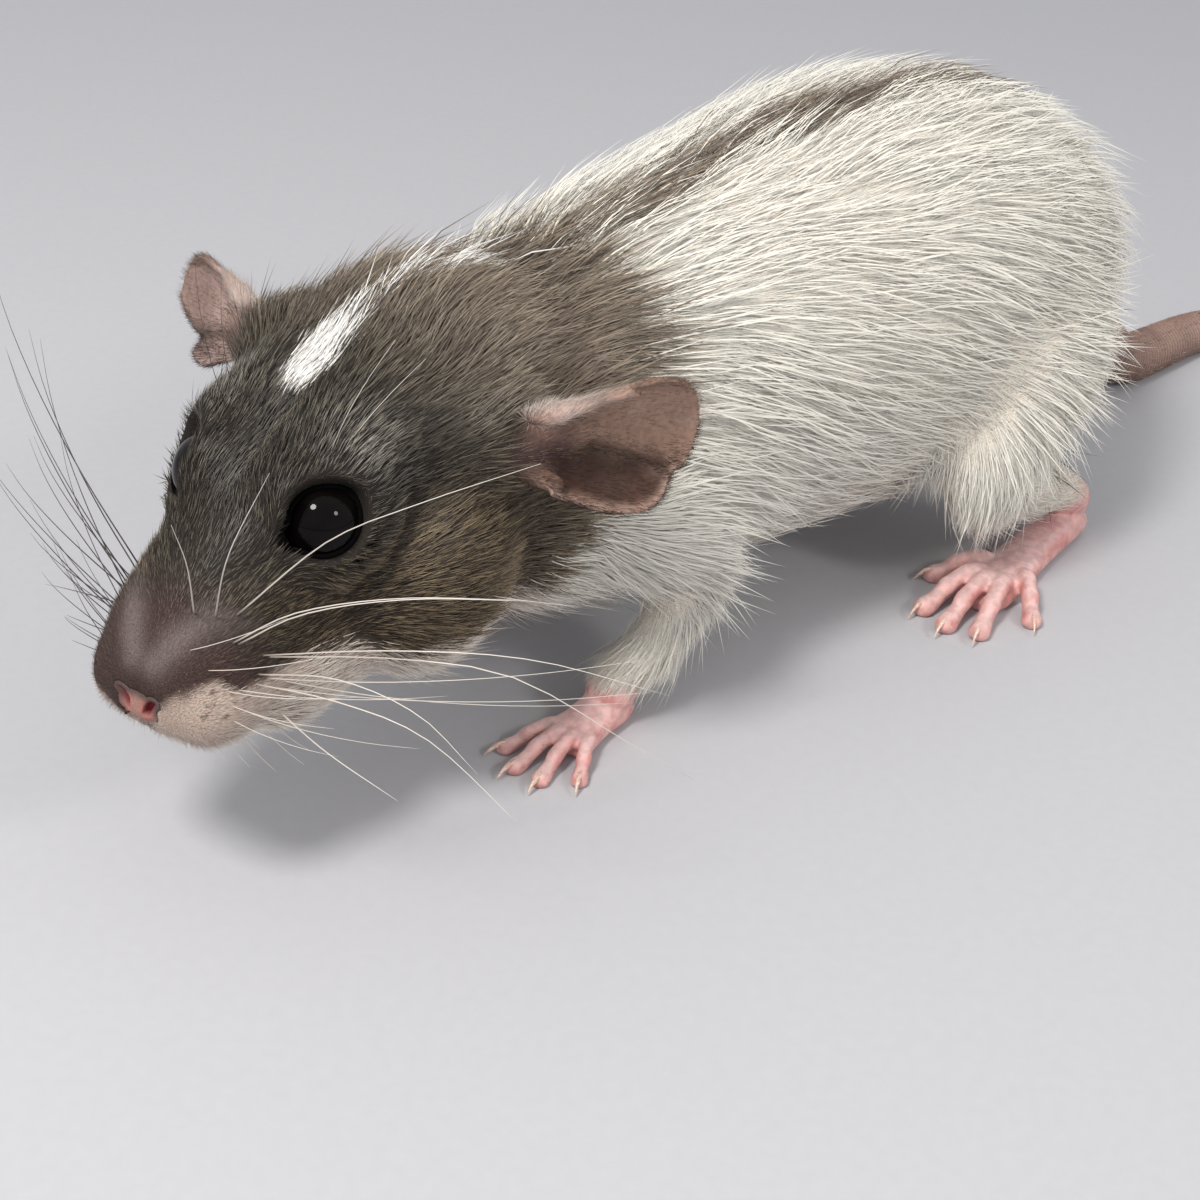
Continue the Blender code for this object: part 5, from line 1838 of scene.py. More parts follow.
    def pieces(self, at: Places, tufts: dict[str, Array]) -> list[bpy.types.Object]:
        """Splits the tufts by part of the body, and each part by bearing round it, into pieces."""
        label, names = self.region(at)
        looks = {True: self.dark.material(), False: self.pale.material()}
        made = []
        for number, name in enumerate(names):
            rows = np.flatnonzero(label == number)
            if not len(rows):
                continue
            cost = np.where(tufts["plain"][rows], 4, 6)
            chunks = max(1, math.ceil(cost.sum() / self.per_piece))
            order = self.unwrap(number, at, rows)[:, 0].argsort(kind="stable")
            rows, cost = rows[order], cost[order]
            bounds = np.searchsorted(cost.cumsum(), np.arange(1, chunks) * cost.sum() / chunks)
            for part, chosen in enumerate(np.split(rows, bounds)):
                spots = self.unwrap(number, at, chosen)
                dark = number < 2
                piece = self.mesh(f"coat_{name}_{part + 1}", tufts, chosen, spots, looks[dark])
                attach(piece, BODY)
                made.append(piece)
        return made

    def mesh(self, name: str, tufts: dict[str, Array], rows: Array, spots: Array, finish: bpy.types.Material):
        """One piece of closed tufts.

        Args:
            name: its name.
            tufts: lines and colours of all tufts.
            rows: which of them it holds.
            spots: their places on the unwrap.
            finish: its material.

        Returns:
            The object.
        """
        plain = tufts["plain"][rows]
        builders = ((rows[plain], spots[plain], False), (rows[~plain], spots[~plain], True))
        points, faces, colours, maps, shading = [], [], [], [], []
        start = 0
        for chosen, where, bent in builders:
            if not len(chosen):
                continue
            wide = (tufts["width"][chosen] / 2)[:, None]
            across, normal = tufts["across"][chosen], tufts["normal"][chosen]
            offsets = (across * wide, -across * wide, normal * wide * 1.1)
            widest = tufts["middle" if bent else "root"][chosen]
            corners = [widest + offset for offset in offsets] + [tufts["tip"][chosen]]
            own = [unit(offset) for offset in offsets] + [normal]
            steps, ride = [0, 0, 0, 2], [(-0.5, 0), (0.5, 0), (0, 0.1), (0, 1)]
            if bent:
                corners.append(tufts["root"][chosen])
                own.append(normal)
                steps, ride = [1, 1, 1, 2, 0], [(-0.5, 0.4), (0.5, 0.4), (0, 0.5), (0, 1), (0, 0)]
            block = np.stack(corners, axis=1)
            size = block.shape[1]
            first = start + np.arange(len(chosen)) * size
            faces.append((self.pattern(bent)[None] + first[:, None, None]).reshape(-1, 3))
            points.append(block.reshape(-1, 3))
            colours.append(tufts["colours"][chosen][:, steps].reshape(-1, 3))
            maps.append((where[:, None] + np.array(ride)[None] * BAKE_PATCH).reshape(-1, 2))
            soft = unit(between(np.stack(own, axis=1), normal[:, None], self.soft))
            shading.append(soft.reshape(-1, 3))
            start += len(chosen) * size
        piece = self.piece(name, *map(np.vstack, (points, faces, colours, maps)), finish)
        piece.data.normals_split_custom_set_from_vertices(np.vstack(shading))
        return piece

    @staticmethod
    def pattern(bent: bool) -> Array:
        """The triangles of one tuft, by the numbers of its points."""
        point = [(0, 1, 3), (1, 2, 3), (2, 0, 3)]
        base = [(1, 0, 4), (2, 1, 4), (0, 2, 4)] if bent else [(0, 2, 1)]
        return np.array(base + point)

    @staticmethod
    def piece(
        name: str, points: Array, faces: Array, colours: Array, maps: Array, finish: bpy.types.Material
    ) -> bpy.types.Object:
        """A mesh from arrays of points and triangles, with its colours and its bake map."""
        mesh = bpy.data.meshes.new(name)
        mesh.vertices.add(len(points))
        mesh.vertices.foreach_set("co", points.astype(np.float32).ravel())
        mesh.loops.add(len(faces) * 3)
        mesh.loops.foreach_set("vertex_index", faces.astype(np.int32).ravel())
        mesh.polygons.add(len(faces))
        mesh.polygons.foreach_set("loop_start", np.arange(len(faces), dtype=np.int32) * 3)
        mesh.update(calc_edges=True)
        paint(mesh, colours)
        layer = mesh.uv_layers.new(name=BAKE_MAP)
        layer.uv.foreach_set("vector", maps[faces.ravel()].astype(np.float32).ravel())
        return link(name, mesh, finish)


@dataclass(frozen=True)
class EarForm:
    """How one ear differs from the other."""

    root: tuple
    axis: tuple
    face: tuple
    length: float
    width: float
    bases: tuple  # front and rear half width at the root, as shares of the widest
    cup: float
    roll: float  # of the rear lobe, towards the opening
    lean: float
    lean_power: float
    skew: float  # how far the tip leans to the front rim


LEFT_EAR = EarForm(
    root=(-39.6, 15.4, 8.6),
    axis=(-0.84, 0.84, -0.02),
    face=(0.8, 0.52, 0.1),
    length=16.0,
    width=13.9,
    bases=(0.93, 0.38),
    cup=4.0,
    roll=0.0,
    lean=0.1,
    lean_power=2.0,
    skew=0.4,
)
RIGHT_EAR = EarForm(
    root=(-39.4, 15.0, 8.1),
    axis=(-0.27, 0.89, -0.08),
    face=(0.76, 0.4, 0.42),
    length=12.8,
    width=11.4,
    bases=(0.7, 0.36),
    cup=1.6,
    roll=-2.0,
    lean=0.5,
    lean_power=3.0,
    skew=0.5,
)


@dataclass
class Ears:
    """Cupped ears with a rolled front rim, a crease, a notch behind and a pale knob at the root."""

    GRID = (44, 48)  # steps across and along the sheet
    TRIANGLES = 24_000
    FRONT, REAR = -0.96, 0.93  # places across, a little inside the two rims

    layout: Layout
    start: float = 2.4
    widest: float = 0.56
    tip: float = 0.17
    cup_fade: tuple = (1.2, -0.8)
    thickness: float = 0.62
    voxel: float = 0.19
    stem: tuple = ((-3.0, 4.0, 3.4), (0.0, 3.9, 3.3), (2.6, 3.6, 2.9), (5.2, 2.8, 2.1), (7.2, 1.2, 0.9))
    forms: tuple = (LEFT_EAR, RIGHT_EAR)
    finish: MoistFinish = MoistFinish("ear_skin", 0.55, 0.5, 0.0, 0.2, gloss=0.2)
    # bulges along the front rim: place along it and radii
    rolls: tuple = ((0.0, (1.1, 2.6, 1.1)), (0.12, (0.9, 3.0, 0.8)), (0.3, (0.5, 4.4, 0.5)))
    # the wall from the rear lobe's lower corner down to the head: steps from there, half width, height, depth
    hem: tuple = (
        (0.0, 1.4, 0.2, 0.45, 0.4, 1.0),
        (-0.1, 0.0, -0.1, 0.6, 0.5, 2.4),
        (-0.4, -1.3, -0.9, 0.8, 0.6, 2.6),
        (-0.9, -2.6, -2.2, 0.9, 0.7, 2.0),
    )
    skin: str = "#96796a"
    shade: str = "#382018"
    cup_shade: str = "#38262a"
    # painted shade along the ear's crease
    crease: str = "#33251f"
    rim: str = "#b49c90"
    # pale skin of the knob, also used for the painted lit patch on the far ear
    knob: str = "#c3aaa1"
    flush: str = "#8b665e"
    mauve: str = "#8a7672"
    burrow: str = "#4c3b35"
    down_tones: tuple = ("#4a362e", "#b39a88", "#e0d3ca")  # dark and light hairs, and those of the front rim
    fuzz: CoatFinish = CoatFinish("ear_fuzz", 0.6, 0.2)

    def form(self, side: Side) -> EarForm:
        """The sizes of one ear."""
        return self.forms[0 if side is Side.LEFT else 1]

    def place(self, side: Side) -> Matrix:
        """From the ear's own frame, x across, y from root to tip, z the way it opens, to the world."""
        form = self.form(side)
        along = Vector(form.axis).normalized()
        face = Vector(form.face)
        face = (face - along * face.dot(along)).normalized()
        frame = Matrix((along.cross(face), along, face)).transposed().to_4x4()
        flip = Matrix.Diagonal((1, side.value, 1, 1))
        return self.layout.head_to_world @ flip @ Matrix.Translation(Vector(form.root)) @ frame

    def sheet(self, side: Side, across: Array, along: Array) -> Array:
        """Points of the ear's middle surface, for places across (-1 front to 1 rear) and along (0 to 1)."""
        form = self.form(side)
        past = np.clip((along - self.widest) / (1 - self.widest), 0, 1)
        tip = np.sqrt(np.maximum(1 - past**2, self.tip**2))
        base = between(form.bases[1], form.bases[0], ease(0.3, -0.3, across))
        grow = base + (1 - base) * np.sin(math.pi / 2 * np.minimum(along / self.widest, 1))
        outline = np.where(along > self.widest, tip, grow)
        cupping = np.where(along > self.widest, tip**2, 1.0)
        rear = ease(0.2, 1.0, across)
        outline_cut = outline * (1 - rear * (0.20 * bell(along - 0.80, 0.05) - 0.07 * bell(along - 0.5, 0.2)))
        full, loss = self.cup_fade
        lean = form.lean * along**form.lean_power
        bend = form.cup * across**2 * cupping * (full + loss * along) + lean
        bend = bend + form.roll * ease(0.35, 1.0, across) ** 1.5
        bend = bend + 0.55 * ease(0.82, 1.0, np.abs(across)) * ease(1.0, 0.8, along)
        x = across * form.width / 2 * outline_cut - form.skew * ease(0.45, 1.0, along)
        y = self.start + along * form.length
        low = np.array((0.3, self.start + 0.1 * form.length))
        run = (form.width * 0.36, self.start + 0.8 * form.length) - low
        off = ((x - low[0]) * run[1] - (y - low[1]) * run[0]) / np.hypot(*run)
        share = ((x - low[0]) * run[0] + (y - low[1]) * run[1]) / (run @ run)
        bend = bend - 0.85 * bell(off, 0.9) * ease(0.0, 0.3, share) * ease(1.15, 0.85, share)
        bend = bend + 0.9 * bell(off - 2.4, 1.6) * ease(0.2, 0.5, share) * ease(1.1, 0.8, share)
        bend = bend - 1.4 * bell(along, 0.2) * (1 - across**2)
        return np.stack([x, y, bend], axis=-1)

    def rim_point(self, side: Side, across: float, along: float) -> Array:
        """One point of the middle surface."""
        return self.sheet(side, np.array([across]), np.array([along]))[0]

    def build(self) -> list[bpy.types.Object]:
        """Both ears and their fuzz."""
        return [piece for side in Side for piece in self.ear(side)]

    def ear(self, side: Side) -> list[bpy.types.Object]:
        """One ear, which stands for its solid, and its fuzz."""
        bm = bmesh.new()
        columns, lines = self.GRID
        bmesh.ops.create_grid(bm, x_segments=columns, y_segments=lines, size=1.0)
        flat = np.array([tuple(vert.co) for vert in bm.verts])
        across, along = flat[:, 0], 1 - (0.5 - flat[:, 1] / 2) ** 1.35
        for vert, point in zip(bm.verts, self.sheet(side, across, along)):
            vert.co = point
        bmesh.ops.recalc_face_normals(bm, faces=bm.faces)
        bmesh.ops.solidify(bm, geom=list(bm.faces), thickness=self.thickness)
        face_outward(bm)
        root = bmesh.new()
        rows = [(0, y, -0.5, wide, thick, thick) for y, wide, thick in self.stem]
        loft(root, np.array(rows), (0, 0, 1), 16)
        for share, radii in self.rolls:
            ellipsoid(root, self.rim_point(side, self.FRONT, share), radii)
        corner = self.rim_point(side, self.REAR, 0.0)
        hem = np.array([(*(corner + step[:3]), *step[3:]) for step in self.hem])
        loft(root, spline(hem, 3), (0, 0, 1), 14)
        face_outward(root)
        add(bm, root)
        bm.transform(Matrix.Scale(MM, 4))
        made = link(f"ear_skin_{side.word}", mesh_of(bm, "ear"))
        fused(made, self.voxel)
        shape = Shape(made)
        low = ease(12.0, 6.0, shape.points[:, 1] / MM)
        shape.soften(5, np.full(len(shape.points), 0.5))
        shape.soften(22, 0.5 * low)
        local = shape.points / MM
        colour = self.colours(side, local, shape.normals())
        shape.points = carry(self.place(side), local)
        if side is Side.RIGHT:
            made.data.flip_normals()
        shape.write()
        paint(made.data, colour)
        fewer = made.modifiers.new("fewer", "DECIMATE")
        fewer.ratio = min(1.0, self.TRIANGLES / (2 * len(made.data.polygons)))
        apply_all(made)
        made.data.materials.append(self.finish.material())
        made.data.shade_smooth()
        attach(made, BODY)
        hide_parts(f"ear_{side.word}")
        return [made, self.down(side, made)]

    def shares(self, side: Side, local: Array) -> tuple[Array, Array]:
        """Places across and along the ear of points in its own frame."""
        along = (local[:, 1] - self.start) / self.form(side).length
        inside = np.clip(along, 0, 0.999)
        edge = self.sheet(side, np.full(len(inside), 1.0), inside)[:, 0]
        front = self.sheet(side, np.full(len(inside), -1.0), inside)[:, 0]
        x = local[:, 0]
        return np.where(x > 0, x / np.maximum(edge, 0.5), -x / np.minimum(front, -0.5)), along

    def colours(self, side: Side, local: Array, normal: Array) -> Array:
        """Colours of the ear by place: painted shade inside the cup, on the lower lobe and along the crease,
        a painted lit patch on the far ear, pale on the front rim and the knob.
        """
        across, along = self.shares(side, local)
        noise = Cloudiness(31)
        open_side = ease(-0.2, 0.3, normal[:, 2])
        colour = blend(linear(self.skin), linear(self.rim), 0.25 * ease(-0.2, 0.6, noise.at(local, 3.0)))
        if side is Side.RIGHT:
            colour = blend(colour, linear(self.mauve), 0.6)
            # painted light: a pale lit patch over the far ear's lower middle, in the knob's colour
            colour = blend(colour, linear(self.knob), ease(0.66, 0.4, along) * open_side * 0.7)
        form = self.form(side)
        line = np.array([(0.3, self.start + 1.6, 0), (form.width * 0.36, self.start + 0.8 * form.length, 0)])
        run, off = line[1] - line[0], local - line[0]
        below = (off[:, 0] * run[1] - off[:, 1] * run[0]) / np.hypot(*run[:2])
        ragged = 0.9 * noise.at(local, 2.2)
        lower = ease(-1.6, 1.4, below + ragged) * ease(1.0, 0.82, across) * ease(-0.05, 0.12, along)
        colour = blend(colour, linear(self.shade), lower * open_side * (0.9 if side is Side.LEFT else 0.25))
        concha = bell(across - 0.05, 0.6) * ease(0.34, 0.05, along) * open_side
        colour = blend(colour, linear(self.cup_shade), concha * 0.95)
        # painted shade along the crease, on the side that opens
        crease = bell(distance_to(local * (1, 1, 0), line), 0.9)
        colour = blend(colour, linear(self.crease), crease * 0.5 * open_side)
        front = ease(-0.6, -0.98, across) * ease(0.62, 0.1, along) * ease(-0.15, 0.08, along)
        colour = blend(colour, linear(self.rim), front * 0.7)
        colour = blend(colour, linear(self.rim), ease(0.86, 1.0, across) * 0.25)
        far = np.linalg.norm(local - self.rim_point(side, self.FRONT, 0.08), axis=1)
        colour = blend(colour, linear(self.flush), bell(far, 4.2) * 0.6)
        colour = blend(colour, linear(self.knob), bell(far, 2.0) * 0.9 * ease(0.2, 2.6, local[:, 1]))
        return blend(colour, linear(self.burrow), ease(2.4, -0.4, local[:, 1]) * 0.8)

    def down(self, side: Side, ear: bpy.types.Object) -> bpy.types.Object:
        """Fine short hairs on both faces of the ear, spreading from its root."""
        rng = np.random.default_rng(40 + side.value)
        shape = Shape(ear)
        normals = shape.normals()
        inverse = self.place(side).inverted()
        local = carry(inverse, shape.points)
        across, along = self.shares(side, local)
        chosen = np.flatnonzero((rng.random(len(local)) < 0.6) & (along > -0.25))
        root, normal = shape.points[chosen], normals[chosen]
        spread = np.stack([local[chosen, 0], local[chosen, 1] + 2.0, np.zeros(len(chosen))], axis=1)
        lie = unit(turn_rows(self.place(side), unit(spread)) / MM)
        lie = unit(lie - normal * np.sum(lie * normal, axis=1)[:, None] + rng.normal(0, 0.12, lie.shape))
        pale = ease(-0.6, -0.95, across[chosen]) * ease(0.6, 0.1, along[chosen])
        length = (0.7 + 0.6 * rng.random(len(chosen)) + 0.5 * pale) * MM
        tip = root + (lie * 0.96 + normal * 0.25) * length[:, None]
        share = rng.random(len(chosen)) ** 1.5 * ease(0.7, 0.2, across[chosen])
        tone = blend(*map(linear, self.down_tones[:2]), share)
        tone = blend(tone, linear(self.down_tones[2]), pale * 0.8)
        spots = np.stack([across[chosen] * 0.45 + 0.5, along[chosen] * 0.9 + 0.05], axis=1)
        start = root - normal * 0.05 * MM
        name, finish = f"ear_down_{side.word}", self.fuzz.material()
        return spikes(name, start, tip, normal, 0.045 * MM, tone, spots, finish)


def spikes(
    name: str,
    root: Array,
    tip: Array,
    normal: Array,
    width: float,
    colours: Array,
    spots: Array,
    finish: bpy.types.Material,
) -> bpy.types.Object:
    """Many short straight hairs as one piece.

    Args:
        name: the piece's name.
        root: where they start.
        tip: where they end.
        normal: the skin's normals there.
        width: their width at the root.
        colours: a colour for each.
        spots: their places on an unwrap.
        finish: the material.

    Returns:
        The object.
    """
    across = unit(np.cross(tip - root, normal)) * width / 2
    up = normal * width / 2
    block = np.stack([root + across, root - across, root + up, tip], axis=1)
    faces = (Coat.pattern(False)[None] + (np.arange(len(root)) * 4)[:, None, None]).reshape(-1, 3)
    ride = np.array([(-0.5, 0), (0.5, 0), (0, 0), (0, 1)]) * BAKE_PATCH
    maps = (spots[:, None] + ride[None]).reshape(-1, 2)
    made = Coat.piece(name, block.reshape(-1, 3), faces, np.repeat(colours, 4, axis=0), maps, finish)
    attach(made, BODY)
    return made


@dataclass
class Whiskers:
    """Long tapered whiskers: white on the left, dark on the right, a few over the eyes and on the chin."""

    face: Face
    white: CoatFinish = CoatFinish("white_whisker", 0.3, 0.5)
    dark: CoatFinish = CoatFinish("dark_whisker", 0.35, 0.5)
    white_tones: tuple = ("#c9bdb2", "#ece6de")  # at the root and the tip
    dark_tones: tuple = ("#2a2320", "#4b423c")
    root_radius: float = 0.075
    root_depth: float = 0.3  # how far under the skin they start
    sides: int = 5
    steps: int = 14
    # the long ones of the left side: places of the curve in the head's frame
    left_lines: tuple = (
        ((-8.0, 6.4, 7.4), (-11.2, 15.0, 18.3), (-12.8, 24.0, 25.8), (-16.4, 34.0, 32.2)),
        ((-6.4, 6.8, 5.4), (-8.4, 13.0, 11.1), (-11.5, 22.0, 15.0), (-16.4, 31.0, 15.4)),
        ((-6.8, 6.8, 4.9), (-9.4, 13.0, 10.1), (-13.0, 22.0, 13.6), (-19.0, 31.0, 13.0)),
        ((-9.2, 8.2, 1.9), (-13.0, 20.0, 5.0), (-17.3, 30.0, 4.1), (-24.5, 38.0, -7.4), (-31.0, 41.0, -17.0)),
        ((-8.6, 8.2, 2.6), (-12.6, 20.0, 6.4), (-18.5, 31.0, 6.0), (-27.5, 40.0, -2.0)),
        ((-7.5, 8.2, 1.2), (-8.1, 17.0, 5.1), (-7.9, 26.0, 5.9), (-7.9, 32.0, 1.7)),
        ((-6.8, 8.4, 0.7), (-7.7, 17.0, 2.5), (-8.9, 26.0, 1.6), (-10.0, 35.0, -6.0)),
        ((-5.7, 3.0, 8.0), (-3.5, 6.0, 17.3), (-0.9, 8.0, 25.2)),
        ((-6.5, 5.0, 7.9), (-4.6, 10.0, 19.7), (-4.8, 16.0, 31.6)),
        ((-8.9, 8.0, -4.5), (-8.6, 14.0, -7.2), (-8.6, 22.0, -9.2)),
    )
    # the others: height on the pad and rise, then place back and length
    rows: tuple = ((5.6, 0.55), (3.6, 0.30), (1.8, 0.08), (0.2, -0.14), (-1.4, -0.38))
    columns: tuple = ((-9.6, 40.0), (-8.0, 36.0), (-6.4, 28.0), (-4.9, 19.0), (-3.4, 11.0))

    def build(self, tree: BVHTree) -> list[bpy.types.Object]:
        """All whiskers, in a white and a dark piece for each side.

        Args:
            tree: the skin in the head's frame.

        Returns:
            The pieces.
        """
        rng = np.random.default_rng(7)
        lines: dict[Side, list] = {Side.LEFT: [], Side.RIGHT: []}
        for line in self.left_lines:
            lines[Side.LEFT].append((self.rooted(tree, np.array(line, float)), 1.0))
        for side in Side:
            for height, rise in self.rows:
                for back, length in self.columns:
                    if side is Side.LEFT and length > 15 and (height > 3 or rng.random() < 0.4):
                        continue
                    lines[side].append(self.swept(tree, side, back, height, rise, length, rng))
            lines[side] += self.extras(tree, side, rng)
        made = []
        for side, finish, tone in (
            (Side.LEFT, self.white, self.white_tones),
            (Side.RIGHT, self.dark, self.dark_tones),
        ):
            made.append(self.piece(f"whiskers_{side.word}", lines[side], finish, tone))
        return made

    def rooted(self, tree: BVHTree, line: Array) -> Array:
        """Moves a line so that it starts just inside the skin."""
        hit = tree.find_nearest(Vector(line[0]))
        line[0] = hit[0] - hit[1] * self.root_depth
        return line

    def swept(self, tree, side: Side, back: float, height: float, rise: float, length: float, rng) -> tuple:
        """One whisker of the pad, out and back, bending down with its own weight."""
        length = length * (0.8 + 0.3 * rng.random())
        start = Vector((back + rng.normal(0, 0.25), 14.0 * side.value, height + rng.normal(0, 0.25)))
        hit = tree.ray_cast(start, Vector((0, -side.value, 0)))
        root = np.array(hit[0]) - np.array(hit[1]) * self.root_depth
        most = 0.75 if side is Side.LEFT else 0.3
        sweep = np.interp(length, (8, 40), (0.2, most)) + rng.normal(0, 0.08)
        out = unit(np.array((-sweep, 0.85 * side.value, rise + rng.normal(0, 0.07))))
        drop = np.array((-0.4 * most, -0.1 * side.value, -0.14)) * length
        line = [root + out * length * share + drop * share**2 for share in (0, 0.25, 0.5, 0.75, 1.0)]
        return np.array(line), np.interp(length, (8, 40), (0.45, 0.9))

    def extras(self, tree, side: Side, rng) -> list[tuple]:
        """Two over the eye, one on the cheek and a few on the chin."""
        made = []
        for start, way, length, thick in (
            ((-23.0, 6.2, 16.0), (-0.1, 0.35, 0.93), 15.0, 0.4),
            ((-25.0, 7.0, 16.0), (-0.35, 0.45, 0.82), 11.0, 0.35),
            ((-31.0, 17.0, -4.0), (-0.5, 0.8, -0.25), 9.0, 0.4),
            ((-4.5, 5.0, -8.0), (0.1, 0.5, -0.85), 4.5, 0.5),
            ((-5.5, 6.0, -8.0), (0.0, 0.5, -0.85), 6.0, 0.55),
            ((-7.0, 6.5, -8.5), (-0.1, 0.5, -0.85), 6.5, 0.55),
            ((-8.5, 7.0, -9.0), (-0.2, 0.5, -0.8), 5.0, 0.5),
            ((-3.5, 4.0, -7.5), (0.2, 0.4, -0.9), 3.5, 0.45),
            ((-6.2, 5.0, -8.5), (0.0, 0.4, -0.9), 4.0, 0.45),
        ):
            hit = tree.find_nearest(Vector(start) * Vector((1, side.value, 1)))
            root = np.array(hit[0]) - np.array(hit[1]) * self.root_depth
            out = unit(np.array(way) * (1, side.value, 1))
            drop = np.array((-0.2, 0, -0.12)) * length
            line = [root + out * length * share + drop * share**2 for share in (0, 0.33, 0.66, 1.0)]
            made.append((np.array(line), thick))
        return made

    def piece(self, name: str, lines: list, finish: CoatFinish, tone: tuple) -> bpy.types.Object:
        """Tapered tubes along the lines as one piece."""
        points, faces, colours, maps = [], [], [], []
        start = 0
        for number, (line, thick) in enumerate(lines):
            path = spline(line, 6)
            gone = np.r_[0, np.linalg.norm(np.diff(path, axis=0), axis=1).cumsum()]
            even = np.linspace(0, gone[-1], self.steps)
            path = np.stack([np.interp(even, gone, path[:, k]) for k in range(3)], axis=1)
            share = np.linspace(0, 1, self.steps)
            radius = self.root_radius * thick * (1 - share) ** 0.8 + 0.012
            along = unit(np.gradient(path, axis=0))
            side = unit(np.cross(along, (0.1, 0.2, 1.0)))
            up = np.cross(side, along)
            angle = np.arange(self.sides) / self.sides * math.tau
            loop = side[:, None] * np.cos(angle)[None, :, None] + up[:, None] * np.sin(angle)[None, :, None]
            block = path[:, None] + loop * radius[:, None, None]
            block = np.vstack([block.reshape(-1, 3), path[:1], path[-1:]])
            last = len(block) - 1
            for i in range(self.steps - 1):
                for k in range(self.sides):
                    a, b = i * self.sides + k, i * self.sides + (k + 1) % self.sides
                    faces.append((a + start, b + start, a + self.sides + start))
                    faces.append((b + start, b + self.sides + start, a + self.sides + start))
            for k in range(self.sides):
                n = (k + 1) % self.sides
                faces.append((last - 1 + start, n + start, k + start))
                top = (self.steps - 1) * self.sides
                faces.append((last + start, top + k + start, top + n + start))
            points.append(block)
            fade = np.r_[np.repeat(share, self.sides), 0, 1]
            colours.append(blend(linear(tone[0]), linear(tone[1]), fade))
            spot = np.array(((number % 10 + 0.5) / 10, (number // 10 + 0.5) / 10))
            maps.append(spot + np.stack([np.zeros(len(fade)), fade * BAKE_PATCH], axis=1))
            start += len(block)
        world = carry(self.face.layout.head_to_world, np.vstack(points))
        triangles = np.array(faces)[:, ::-1]
        made = Coat.piece(name, world, triangles, np.vstack(colours), np.vstack(maps), finish.material())
        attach(made, BODY)
        return made


